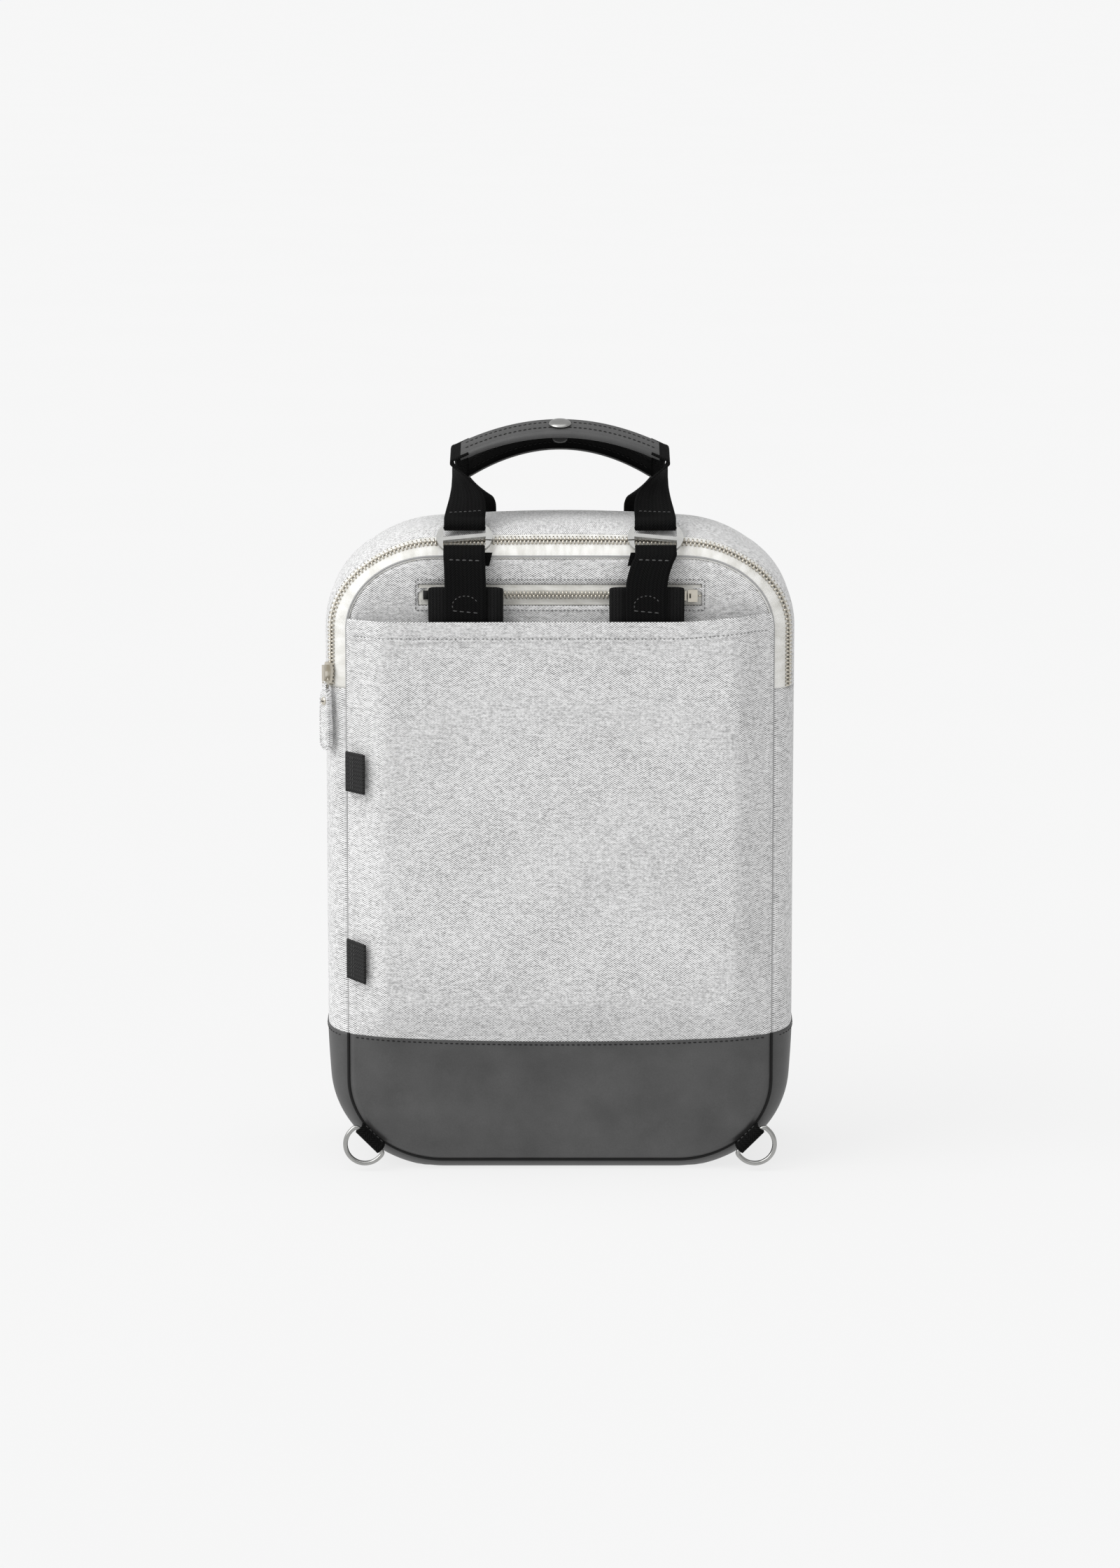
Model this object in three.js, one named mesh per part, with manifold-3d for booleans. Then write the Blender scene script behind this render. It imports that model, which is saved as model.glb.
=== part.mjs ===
// A travel backpack that also carries as a briefcase: canvas body on a leather base, two
// carry handles, stowed shoulder straps, three metal zips and steel rings.
// Millimetres, +Z up. The wearer's side (the back) faces -Y and the front faces +Y.
// The origin is the middle of the flat underside.
import * as THREE from "three";
import { mergeVertices } from "three/addons/utils/BufferGeometryUtils.js";
import Module from "manifold-3d";

const wasm = await Module();
wasm.setup();

// ---- driving dimensions ----
const GAP = 0.3; // clearance between pieces that touch
const PANEL_WIDTH = 267;
const PANEL_BOTTOM = 6;
const PANEL_TOP = 391;
const TOP_CORNER = { rx: 55, rz: 46 };
const BASE_CORNER = { rx: 60, rz: 52 };
const HALF_DEPTH = 60; // from the middle to the seam at the back or the front
const SKIN = 2.5; // canvas with its lining
const SIDE_BULGE = 14; // how far the gusset stands out past the seams
const TOP_BULGE = 20;
const BASE_BULGE = 9;
const LEATHER_TOP = 84; // top edge of the leather base, in the middle of a panel
const LEATHER_RISE = 4; // and how much higher it is at the sides
const ZIP_END = 308; // where both long zips stop on the sides
const POCKET_MOUTH = 352;
const POCKET_GAP = 13.5; // slack between the back panel and the slip pocket
const WEBBING = { wide: 25, thick: 1.5 };
const HOOK_X = 59.5; // hooks and handle ends, left and right of the middle

// ---- colours and finishes ----
const finish = (color, roughness, metalness = 0) =>
  new THREE.MeshStandardMaterial({ color, roughness, metalness });
const canvas = finish(0xcecece, 0.9);
const leather = finish(0x4a4a4a, 0.5);
const black = finish(0x1c1c1c, 0.95);
const tape = finish(0xf2f1ea, 0.85);
const steel = finish(0xc4c4c2, 0.3, 1);
const nickel = finish(0xb3aa9b, 0.35, 1);
const foam = finish(0x3a3a3c, 0.95);
const board = finish(0x8a7a62, 0.8);

const bag = new THREE.Group();

function add(name, geometry, material, parent = bag) {
  const mesh = new THREE.Mesh(geometry, material);
  mesh.name = name;
  parent.add(mesh);
  return mesh;
}

// A group at a point, turned about X, Y and Z in degrees.
function frameAt(parent, position, turn = [0, 0, 0]) {
  const group = new THREE.Group();
  group.position.set(...position);
  group.rotation.set(...turn.map(THREE.MathUtils.degToRad), "ZYX");
  parent.add(group);
  return group;
}

// ---- small helpers ----
const mix = (a, b, t) => a + (b - a) * t;
const clamp01 = (t) => Math.min(1, Math.max(0, t));
const smooth = (t) => clamp01(t) ** 2 * (3 - 2 * clamp01(t));
const radians = THREE.MathUtils.degToRad;
const low2high = (a, b) => (a < b ? [a, b] : [b, a]);

// Signed volume of a closed triangle mesh.
function signedVolume(geometry) {
  const p = geometry.getAttribute("position");
  const index = geometry.index;
  const [a, b, c] = [new THREE.Vector3(), new THREE.Vector3(), new THREE.Vector3()];
  let sum = 0;
  for (let i = 0; i < index.count; i += 3) {
    a.fromBufferAttribute(p, index.getX(i));
    b.fromBufferAttribute(p, index.getX(i + 1));
    c.fromBufferAttribute(p, index.getX(i + 2));
    sum += a.dot(b.cross(c)) / 6;
  }
  return sum;
}

// One closed surface from any geometry, with its faces turned outwards.
function closed(geometry) {
  geometry.deleteAttribute("normal");
  geometry.deleteAttribute("uv");
  const merged = mergeVertices(geometry, 1e-4);
  if (signedVolume(merged) < 0) {
    const order = merged.index.array;
    for (let i = 0; i < order.length; i += 3)
      [order[i + 1], order[i + 2]] = [order[i + 2], order[i + 1]];
  }
  merged.computeVertexNormals();
  return merged;
}

// A box of nu x nv x nw cells whose corners are moved to place(u, v, w), each 0 to 1.
function shapedBox(nu, nv, nw, place) {
  const box = new THREE.BoxGeometry(1, 1, 1, nu, nv, nw);
  const p = box.getAttribute("position");
  for (let i = 0; i < p.count; i++)
    p.setXYZ(i, ...place(p.getX(i) + 0.5, p.getY(i) + 0.5, p.getZ(i) + 0.5));
  return closed(box);
}

const mirrored = (geometry) => closed(geometry.clone().scale(-1, 1, 1));

function toSolid(geometry) {
  const merged = closed(geometry.clone());
  return new wasm.Manifold(
    new wasm.Mesh({
      numProp: 3,
      vertProperties: new Float32Array(merged.attributes.position.array),
      triVerts: new Uint32Array(merged.index.array),
    }),
  );
}

function toGeometry(solid) {
  const mesh = solid.getMesh();
  const geometry = new THREE.BufferGeometry();
  geometry.setAttribute("position", new THREE.BufferAttribute(mesh.vertProperties, 3));
  geometry.setIndex(new THREE.BufferAttribute(mesh.triVerts, 1));
  geometry.computeVertexNormals();
  return geometry;
}

const cut = (geometry, ...tools) =>
  toGeometry(tools.reduce((s, t) => s.subtract(toSolid(t)), toSolid(geometry)));
const join = (...parts) => toGeometry(parts.map(toSolid).reduce((sum, s) => sum.add(s)));

const boxAt = (x, y, z, wide, deep, high) =>
  new THREE.BoxGeometry(wide, deep, high).translate(x, y, z);

// A disc on the XZ plane whose profile is given as [radius, height] pairs towards -Y.
const turned = (profile, segments = 20) =>
  new THREE.LatheGeometry(
    profile.map(([r, h]) => new THREE.Vector2(r, h)),
    segments,
  ).rotateX(Math.PI);

// ---- the outline of the back and front panels ----
// Half the width of the outline at height z, drawn in by inset.
function halfWidth(z, inset = 0) {
  const up = (z - (PANEL_TOP - TOP_CORNER.rz)) / (TOP_CORNER.rz - inset);
  const down = (PANEL_BOTTOM + BASE_CORNER.rz - z) / (BASE_CORNER.rz - inset);
  const drawIn = (t, rx) => (t > 0 ? (rx - inset) * (1 - Math.sqrt(Math.max(0, 1 - t * t))) : 0);
  return PANEL_WIDTH / 2 - inset - drawIn(up, TOP_CORNER.rx) - drawIn(down, BASE_CORNER.rx);
}

// The same outline as a path, from the bottom middle round the right side.
function outlinePath() {
  const path = new THREE.Path();
  const w = PANEL_WIDTH / 2;
  const [bx, bz, tx, tz] = [BASE_CORNER.rx, BASE_CORNER.rz, TOP_CORNER.rx, TOP_CORNER.rz];
  path.moveTo(0, PANEL_BOTTOM);
  path.lineTo(w - bx, PANEL_BOTTOM);
  path.absellipse(w - bx, PANEL_BOTTOM + bz, bx, bz, -Math.PI / 2, 0);
  path.lineTo(w, PANEL_TOP - tz);
  path.absellipse(w - tx, PANEL_TOP - tz, tx, tz, 0, Math.PI / 2);
  path.lineTo(tx - w, PANEL_TOP);
  path.absellipse(tx - w, PANEL_TOP - tz, tx, tz, Math.PI / 2, Math.PI);
  path.lineTo(-w, PANEL_BOTTOM + bz);
  path.absellipse(bx - w, PANEL_BOTTOM + bz, bx, bz, Math.PI, 1.5 * Math.PI);
  path.lineTo(0, PANEL_BOTTOM);
  return path;
}
const outline = outlinePath();
const runs = outline.getCurveLengths();
const perimeter = runs[runs.length - 1];
const [rightCornerEnd, leftCornerStart] = [runs[1], runs[6]];

// Where the outline passes height z on a straight side, as a share of its length.
function stationAt(side, z) {
  const up = z - (PANEL_BOTTOM + BASE_CORNER.rz);
  return side > 0 ? (rightCornerEnd + up) / perimeter : (leftCornerStart - up) / perimeter;
}

function outlineAt(station) {
  const t = ((station % 1) + 1) % 1;
  const step = 1e-4;
  const here = outline.getPoint(t);
  const ahead = outline.getPoint(Math.min(1, t + step));
  const tangent = ahead.sub(outline.getPoint(Math.max(0, t - step))).normalize();
  return { x: here.x, z: here.y, nx: tangent.y, nz: -tangent.x };
}

// How far the gusset stands out past the outline, at its place and at depth y. The sides are
// boxy, the top is a rounder dome that is highest in the middle.
const CORNER_START = PANEL_TOP - TOP_CORNER.rz;
function bulge(x, z, y) {
  const top = smooth((z - CORNER_START) / TOP_CORNER.rz);
  const dome = 1 - 0.5 * (x / (PANEL_WIDTH / 2 - TOP_CORNER.rx)) ** 2;
  const sides = mix(BASE_BULGE, SIDE_BULGE, smooth(z / 100));
  const full = mix(sides, Math.max(sides, mix(SIDE_BULGE, TOP_BULGE, dome)), top);
  return full * (1 - Math.abs(y / HALF_DEPTH) ** mix(7, 3.9, top));
}

// A strip of the gusset from one station to another and from depth y0 to y1.
// lift raises it off the gusset's outer surface. Nothing goes below the floor.
function band(from, to, y0, y1, thickness, lift, steps, ySteps) {
  return shapedBox(steps, ySteps, 1, (u, v, w) => {
    const y = mix(y0, y1, v);
    const o = outlineAt(mix(from, to, u));
    const inner = thickness * (1 - w);
    const out = bulge(o.x, o.z, y) + lift - inner;
    return [o.x + o.nx * out, y, Math.max(inner, o.z + o.nz * out)];
  });
}

// ---- panels ----
// Rows of a panel between two heights, closer together round the corners.
function rowsBetween(low, high, inset) {
  const rows = [low, high];
  const corners = [
    [PANEL_BOTTOM + BASE_CORNER.rz, BASE_CORNER.rz - inset, -1],
    [CORNER_START, TOP_CORNER.rz - inset, 1],
  ];
  for (const [start, radius, way] of corners)
    for (const turn of [0, 18, 36, 50, 63, 75])
      rows.push(start + way * radius * Math.sin(radians(turn)));
  for (let z = 110; z < 330; z += 55) rows.push(z);
  const clear = 2;
  return rows
    .filter((z) => z === low || z === high || (z > low + clear && z < high - clear))
    .sort((a, b) => a - b);
}

// How far a stuffed panel stands proud of its seams.
function pillow(x, z, height) {
  const across = x / (PANEL_WIDTH / 2);
  const up = (z - PANEL_BOTTOM) / (PANEL_TOP - PANEL_BOTTOM);
  return height * Math.max(0, 1 - across ** 4) * Math.max(0, 1 - Math.abs(2 * up - 1) ** 6);
}

// A panel that follows the outline. face(x, z) is the y of its outer surface, way is -1 at
// the back of the bag and 1 at the front, and lowEdge and highEdge bend its two cut edges.
function panel({ low, high, inset, thickness, way, face, columns = 8, lowEdge, highEdge }) {
  const rows = rowsBetween(low, high, inset);
  const last = rows.length - 1;
  return shapedBox(columns, last, 1, (u, v, w) => {
    const row = Math.round(v * last);
    const across = 2 * u - 1;
    const bend = row === 0 ? lowEdge : row === last ? highEdge : undefined;
    const z = rows[row] + (bend ? bend(across) : 0);
    const x = halfWidth(z, inset) * across;
    return [x, face(x, z) - way * thickness * (1 - w), z];
  });
}

const leatherCurve = (across) => LEATHER_RISE * Math.abs(across) ** 2.2;
const INSIDE = SKIN + 0.8; // panels that sit within the gusset's rim
const OVER = 0.6; // panels laid over that rim
const BACK_PILLOW = 3;
const FRONT_PILLOW = 7;
const backFace = (x, z) => -HALF_DEPTH - pillow(x, z, BACK_PILLOW);
const frontFace = (x, z) => HALF_DEPTH + pillow(x, z, FRONT_PILLOW);

// The slip pocket's slack: full across the middle, closed at its sides and foot.
function pocketSlack(x, z) {
  const side = smooth((halfWidth(z) - Math.abs(x)) / 26);
  const foot = smooth((z - LEATHER_TOP + 12) / 40);
  return GAP + POCKET_GAP * side * foot;
}
const POCKET_SKIN = 2;
const pocketFace = (x, z) => backFace(x, z) - pocketSlack(x, z) - POCKET_SKIN;

// ---- the back: a panel with a zip window, the slip pocket and the leather below it ----
const BASE_EDGE = PANEL_BOTTOM + INSIDE;
const TOP_EDGE = PANEL_TOP - INSIDE;
const POCKET_ZIP = { z: 367, half: 88.5, high: 13.6 };
const zipWindow = boxAt(0, -HALF_DEPTH, POCKET_ZIP.z, 2 * POCKET_ZIP.half, 20, POCKET_ZIP.high);
const inside = { inset: INSIDE, thickness: SKIN };
const backSheet = panel({ low: BASE_EDGE, high: TOP_EDGE, ...inside, way: -1, face: backFace });
add("back_panel", cut(backSheet, zipWindow), canvas);
const over = { inset: OVER, thickness: POCKET_SKIN, way: -1, face: pocketFace, columns: 14 };
const pocketSheet = { low: LEATHER_TOP + GAP, high: POCKET_MOUTH, lowEdge: leatherCurve, ...over };
add("back_pocket_panel", panel(pocketSheet), canvas);
const backLeather = { low: PANEL_BOTTOM + OVER, high: LEATHER_TOP, highEdge: leatherCurve };
add("back_base_leather", panel({ ...backLeather, ...over }), leather);

// ---- the front: leather, a fixed lower panel, and the flap that the front zip frees ----
const front = { ...inside, way: 1, face: frontFace };
const frontLeather = { low: BASE_EDGE, high: LEATHER_TOP, highEdge: leatherCurve };
add("front_base_leather", panel({ ...frontLeather, ...front }), leather);
const frontLower = { low: LEATHER_TOP + GAP, high: ZIP_END - GAP, lowEdge: leatherCurve };
add("front_panel", panel({ ...frontLower, ...front }), canvas);
add("front_flap", panel({ low: ZIP_END + GAP, high: TOP_EDGE, ...front }), canvas);

// ---- the gusset ----
const [rightZip, leftZip] = [stationAt(1, ZIP_END), stationAt(-1, ZIP_END)];
const leatherSide = LEATHER_TOP + LEATHER_RISE;
const [rightBase, leftBase] = [stationAt(1, leatherSide), stationAt(-1, leatherSide)];
const hair = GAP / 2 / perimeter;
const wholeDepth = (from, to, steps) =>
  band(from + hair, to - hair, -HALF_DEPTH, HALF_DEPTH, SKIN, 0, steps, 10);
add("gusset_right", wholeDepth(rightBase, rightZip, 4), canvas);
add("gusset_left", wholeDepth(leftZip, leftBase, 4), canvas);
add("base_gusset_leather", wholeDepth(leftBase, rightBase + 1, 34), leather);

// Both long zips run from one side over the top to the other: an outer tape, two rows of
// teeth and an inner tape, then the top canvas between the two zips.
const ZIP = { y: 51.8, half: 2.4, inner: 47.5, tape: 1.6, teeth: 2.4 };
const ARCH_STEPS = 40;
const arch = (y0, y1, thickness, lift, ySteps = 1) =>
  band(rightZip + hair, leftZip - hair, ...low2high(y0, y1), thickness, lift, ARCH_STEPS, ySteps);
add("gusset_top", arch(GAP - ZIP.inner, ZIP.inner - GAP, SKIN, 0, 6), canvas);
const teethIn = ZIP.y - ZIP.half;
const teethOut = ZIP.y + ZIP.half;
const outerTape = (way) => arch(way * HALF_DEPTH, way * (teethOut + GAP), ZIP.tape, 0);
const innerTape = (way) => arch(way * (teethIn - GAP), way * ZIP.inner, ZIP.tape, 0);
const teethRow = (from, to) => arch(from, to, ZIP.teeth, 0.8);
add("main_zip_tape_outer", outerTape(-1), tape);
add("main_zip_tape_inner", innerTape(-1), tape);
add("main_zip_teeth", teethRow(-teethIn, -teethOut), nickel);
add("front_zip_tape_outer", outerTape(1), tape);
add("front_zip_tape_inner", innerTape(1), tape);
add("front_zip_teeth_outer", teethRow(ZIP.y + GAP / 2, teethOut), nickel);
add("front_zip_teeth_inner", teethRow(teethIn, ZIP.y - GAP / 2), nickel);

// ---- sliders and pulls of the two long zips ----
// The pieces are drawn running along Z, facing -Y, with the origin on the teeth.
const SLIDER = { wide: 9, long: 13, plate: 1.8, bridge: 3.4 };
function sliderGeometry() {
  const [w, l] = [SLIDER.wide / 2, SLIDER.long / 2];
  const face = new THREE.Shape(
    [[-0.6 * w, -l], [0.6 * w, -l], [w, 0.3 * l], [0.6 * w, l], [-0.6 * w, l], [-w, 0.3 * l]].map(
      ([x, z]) => new THREE.Vector2(x, z),
    ),
  );
  const plate = new THREE.ExtrudeGeometry(face, { depth: SLIDER.plate, bevelEnabled: false });
  plate.rotateX(Math.PI / 2);
  const high = SLIDER.bridge;
  const bridge = boxAt(0, -SLIDER.plate - high / 2 + 0.1, 0, 2.4, high, 10);
  const eye = boxAt(0, -SLIDER.plate - high / 2 + 0.45, -1.4, 6, high - 1.3, 5);
  return cut(join(plate, bridge), eye);
}

const PULL = { long: 42, wide: 11, neck: 4.4, thick: 3 };
// A canvas tab folded double, hanging from the origin, rounded at its foot.
function pullGeometry() {
  const { long, wide, neck, thick } = PULL;
  const shape = new THREE.Shape();
  shape.moveTo(-neck / 2, 0);
  shape.lineTo(neck / 2, 0);
  shape.lineTo(neck / 2, -4);
  shape.lineTo(wide * 0.4, -8);
  shape.lineTo(wide / 2, -long * 0.6);
  shape.absarc(0, wide / 2 - long, wide / 2, 0, -Math.PI, true);
  shape.lineTo(-wide / 2, -long * 0.6);
  shape.lineTo(-wide * 0.4, -8);
  shape.lineTo(-neck / 2, -4);
  const flat = new THREE.ExtrudeGeometry(shape, {
    depth: thick,
    bevelEnabled: false,
    curveSegments: 8,
  });
  flat.rotateX(Math.PI / 2).translate(0, thick / 2, 0);
  return cut(flat, boxAt(0, 0, -1.8, wide, 1.8, 2.6));
}

const LINK = { radius: 3.3, wire: 0.6 };
const slopeAt = (y) =>
  Math.atan(bulge(PANEL_WIDTH / 2, ZIP_END, y - 0.5) - bulge(PANEL_WIDTH / 2, ZIP_END, y + 0.5));
const SLIDER_Z = ZIP_END + 9;
for (const [zip, way] of [
  ["main_zip", -1],
  ["front_zip", 1],
]) {
  // The front slider stays upright, so that the teeth can leave it when the flap opens.
  const slope = way < 0 ? slopeAt(ZIP.y) : 0;
  const lift = way < 0 ? 1.3 + 2 * GAP : 2.6;
  const x = -PANEL_WIDTH / 2 - bulge(0, SLIDER_Z, ZIP.y) - lift * Math.cos(slope);
  const y = way * (ZIP.y + lift * Math.sin(slope));
  const onTeeth = frameAt(bag, [x, y, SLIDER_Z]);
  onTeeth.rotation.z = -Math.PI / 2 - way * slope;
  add(`${zip}_slider`, sliderGeometry(), nickel, onTeeth);
  const eye = frameAt(onTeeth, [0, -SLIDER.plate - SLIDER.bridge / 2 + 0.45, -2.6]);
  const link = new THREE.TorusGeometry(LINK.radius, LINK.wire, 6, 14).rotateX(Math.PI / 2);
  add(`${zip}_pull_link`, link.translate(0, 0, -LINK.radius), nickel, eye);
  const tab = frameAt(eye, [0, 0, 2.4 - 2 * LINK.radius]);
  add(`${zip}_pull`, pullGeometry(), canvas, tab);
  const rivet = turned([[0, 0], [2.6, 0], [2.6, 0.5], [1.6, 1.1], [0, 1.2]], 14);
  add(`${zip}_pull_rivet`, rivet, nickel, frameAt(tab, [0, -PULL.thick / 2 - GAP, -11]));
}

// ---- the zipped pocket on the back panel ----
const onBack = backFace(60, POCKET_ZIP.z);
const zipLong = 2 * (POCKET_ZIP.half - GAP);
const tapeHigh = POCKET_ZIP.high - 2 * GAP;
const pocketTeeth = { half: 84, high: 5, deep: 2 };
add("pocket_zip_tape", boxAt(0, onBack + 0.8, POCKET_ZIP.z, zipLong, 1.6, tapeHigh), tape);
const teethY = onBack - GAP - pocketTeeth.deep / 2;
const teethBox = [2 * pocketTeeth.half, pocketTeeth.deep, pocketTeeth.high];
add("pocket_zip_teeth", boxAt(0, teethY, POCKET_ZIP.z, ...teethBox), nickel);
const overTeeth = onBack - GAP - pocketTeeth.deep - GAP;
const pocketSlider = cut(boxAt(0, -1, 0, 6, 2, 7.5), boxAt(-1.6, -1, 0, 1.2, 3, 3));
add("pocket_zip_slider", pocketSlider, nickel, frameAt(bag, [82.5, overTeeth, POCKET_ZIP.z]));
const pocketPull = boxAt(-13.5, -0.8, 0, 26, 1.2, 6);
const pullRoot = [82.5 - 3 - GAP, overTeeth, POCKET_ZIP.z];
add("pocket_zip_pull", pocketPull, nickel, frameAt(bag, pullRoot));

// ---- ribbons of webbing ----
// Each stop on the path is { at: [x, y, z], across }: across is the direction of the width
// there, along X unless it is given.
function ribbon(stops, steps, { wide, thick } = WEBBING) {
  const path = new THREE.CatmullRomCurve3(stops.map((s) => new THREE.Vector3(...s.at)));
  const last = stops.length - 1;
  const acrossAt = (t) => {
    const i = Math.min(last - 1, Math.floor(t * last));
    const [from, to] = [stops[i], stops[i + 1]].map((s) => new THREE.Vector3(...(s.across ?? [1, 0, 0])));
    return from.lerp(to, t * last - i).normalize();
  };
  const cell = 1e-3;
  return shapedBox(steps, 2, 1, (u, v, w) => {
    const here = path.getPoint(u);
    const ahead = path.getPoint(Math.min(1, u + cell)).sub(path.getPoint(Math.max(0, u - cell)));
    const width = acrossAt(u);
    const normal = ahead.cross(width).normalize();
    here.addScaledVector(width, wide * (v - 0.5)).addScaledVector(normal, thick * (w - 0.5));
    return here.toArray();
  });
}

// ---- the two hooks: flat rings that lean back over the zip ----
const HOOK = { y: -55, z: 402, lean: 40, wide: 35, high: 30, flat: 12, rail: 2.6, thick: 2 };
const RAIL = HOOK.flat - HOOK.rail / 2; // from the hook's middle to the middle of a rail
const BAR = 1.5; // half the height of the sloping bar
const LOOP = 2.7; // radius of a webbing loop round a rail, to its middle
// A point on the leaning plane of the hook: up is along the plate, out stands off its face.
function onHook(x, up, out) {
  const [c, s] = [Math.cos(radians(HOOK.lean)), Math.sin(radians(HOOK.lean))];
  return [x, HOOK.y + up * c - out * s, HOOK.z + up * s + out * c];
}

// The left hook in its own XY plane: an oval with two slots, open on the bag's inner side.
function hookGeometry() {
  const [a, b] = [HOOK.wide / 2, HOOK.high / 2];
  const oval = new THREE.Shape();
  const corner = Math.asin(HOOK.flat / b);
  oval.absellipse(0, 0, a, b, -corner, corner);
  oval.absellipse(0, 0, a, b, Math.PI - corner, Math.PI + corner);
  const slotHalf = WEBBING.wide / 2 + 0.7;
  const slope = 0.13;
  for (const way of [-1, 1]) {
    const slot = new THREE.Path();
    const edge = (x) => slope * x + way * BAR;
    const rail = way * (HOOK.flat - HOOK.rail);
    slot.moveTo(-slotHalf, edge(-slotHalf));
    slot.lineTo(slotHalf, edge(slotHalf));
    slot.lineTo(slotHalf, rail - way);
    slot.lineTo(slotHalf - 1, rail);
    slot.lineTo(1 - slotHalf, rail);
    slot.lineTo(-slotHalf, rail - way);
    oval.holes.push(slot);
  }
  const opts = { depth: HOOK.thick, bevelEnabled: false, curveSegments: 12 };
  const plate = new THREE.ExtrudeGeometry(oval, opts).translate(0, 0, -HOOK.thick / 2);
  const mouth = boxAt(10.5, RAIL, 0, 2.6, 5, 5);
  const slit = boxAt(15, -1.2, 0, 8, 1.2, 5).rotateZ(-0.1);
  return cut(plate, mouth, slit);
}

const leftHook = hookGeometry();
for (const [side, way] of [
  ["left", -1],
  ["right", 1],
]) {
  const plate = way < 0 ? leftHook : mirrored(leftHook);
  add(`strap_hook_${side}`, plate, steel, frameAt(bag, [way * HOOK_X, HOOK.y, HOOK.z], [HOOK.lean, 0, 0]));
}

// Half a turn of webbing round a rail. up is the rail's place on the plate and way is the side
// of the rail on which the webbing passes.
const loopRound = (x, up, way) =>
  [-90, -50, 0, 50, 90].map((turn) => {
    const a = radians(turn);
    return { at: onHook(x, up + way * LOOP * Math.cos(a), LOOP * Math.sin(a)) };
  });

// ---- the back handle, buttoned on the hooks ----
const BACK_GRIP = { half: 62.5, y: -8, top: 466.5, drop: 14.5, tilt: 16 };
const FRONT_GRIP = { half: 58, y: 15.5, top: 459, drop: 18, tilt: -43 };
const GRIP = { wide: 25, thick: 5 };
// Directions across a grip and out of its top face.
const gripAcross = ({ tilt }) =>
  new THREE.Vector3(0, Math.cos(radians(tilt)), Math.sin(radians(tilt)));
const gripUp = ({ tilt }) =>
  new THREE.Vector3(0, -Math.sin(radians(tilt)), Math.cos(radians(tilt)));

function gripGeometry(grip) {
  const [wide, up] = [gripAcross(grip), gripUp(grip)];
  return shapedBox(18, 6, 1, (u, v, w) => {
    const across = 2 * v - 1;
    const round = Math.sqrt(1 - 0.85 * Math.abs(across) ** 5);
    const x = grip.half * (2 * u - 1);
    const z = grip.top - grip.drop * (x / grip.half) ** 2;
    const sag = 1.2 * across * across;
    return new THREE.Vector3(x, grip.y, z)
      .addScaledVector(wide, (GRIP.wide / 2) * across)
      .addScaledVector(up, GRIP.thick * (w - 0.5) * round - sag)
      .toArray();
  });
}

function addGrip(name, grip) {
  add(name, gripGeometry(grip), leather);
}

// A press-stud part on a grip: way is 1 on the top face and -1 underneath.
function addStud(name, grip, way, profile) {
  const centre = new THREE.Vector3(0, grip.y, grip.top);
  centre.addScaledVector(gripUp(grip), way * (GRIP.thick / 2 + GAP));
  const place = frameAt(bag, centre.toArray(), [grip.tilt + (way > 0 ? -90 : 90), 0, 0]);
  add(name, turned(profile), steel, place);
}
const domed = [[0, 0], [7, 0], [7, 0.8], [5.6, 1.7], [0, 2.1]];
const ringed = [[0, 0], [5.5, 0], [5.5, 1.6], [3, 1.6], [3, 0.6], [0, 0.6]];
const knob = [[0, 0], [5.5, 0], [5.5, 0.8], [2.2, 1], [2.6, 2.6], [0, 2.8]];
const backCap = [[0, 0], [5, 0], [5, 0.6], [0, 1]];

// Both ends of a handle, from the loose tail of the webbing to the end of the grip.
function addHandle(name, grip, stops, way, steps) {
  addGrip(`${name}_grip`, grip);
  const endZ = grip.top - grip.drop;
  const rise = (2 * grip.drop) / grip.half;
  const skew = grip.half * Math.abs(Math.sin(radians(grip.tilt))) * 0.085;
  const across = gripAcross(grip).multiplyScalar(way).toArray();
  const intoGrip = [4 + skew, 1.2 + skew].map((x) => ({
    at: [-grip.half - x, grip.y, endZ - rise * x],
    across,
  }));
  const left = ribbon([...stops, ...intoGrip], steps);
  add(`${name}_webbing_left`, left, black);
  add(`${name}_webbing_right`, mirrored(left), black);
}

const backTail = [
  { at: onHook(-HOOK_X, 15.5, -1.2) },
  { at: onHook(-HOOK_X, 12.5, -2.5) },
  ...loopRound(-HOOK_X, RAIL, -1),
  { at: onHook(-HOOK_X, 12.5, 2.5) },
  { at: onHook(-HOOK_X, 15.5, 1.8) },
];
const backTwist = [
  { at: [-58.8, -38, 418.5], across: [0.97, -0.2, 0.1] },
  { at: [-58.5, -31, 424.5], across: [0.85, -0.5, 0.12] },
  { at: [-60, -23, 430.5], across: [0.62, -0.75, 0.14] },
  { at: [-63, -15.5, 436], across: [0.35, -0.92, 0.1] },
  { at: [-66, -10.5, 441.3], across: [0.12, -0.99, 0] },
  { at: [-68.3, -8.3, 446.3], across: [0, -0.98, -0.18] },
];
addHandle("back_handle", BACK_GRIP, [...backTail, ...backTwist], -1, 44);
addStud("back_handle_snap_cap", BACK_GRIP, 1, domed);
addStud("back_handle_snap_socket", BACK_GRIP, -1, ringed);

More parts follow.
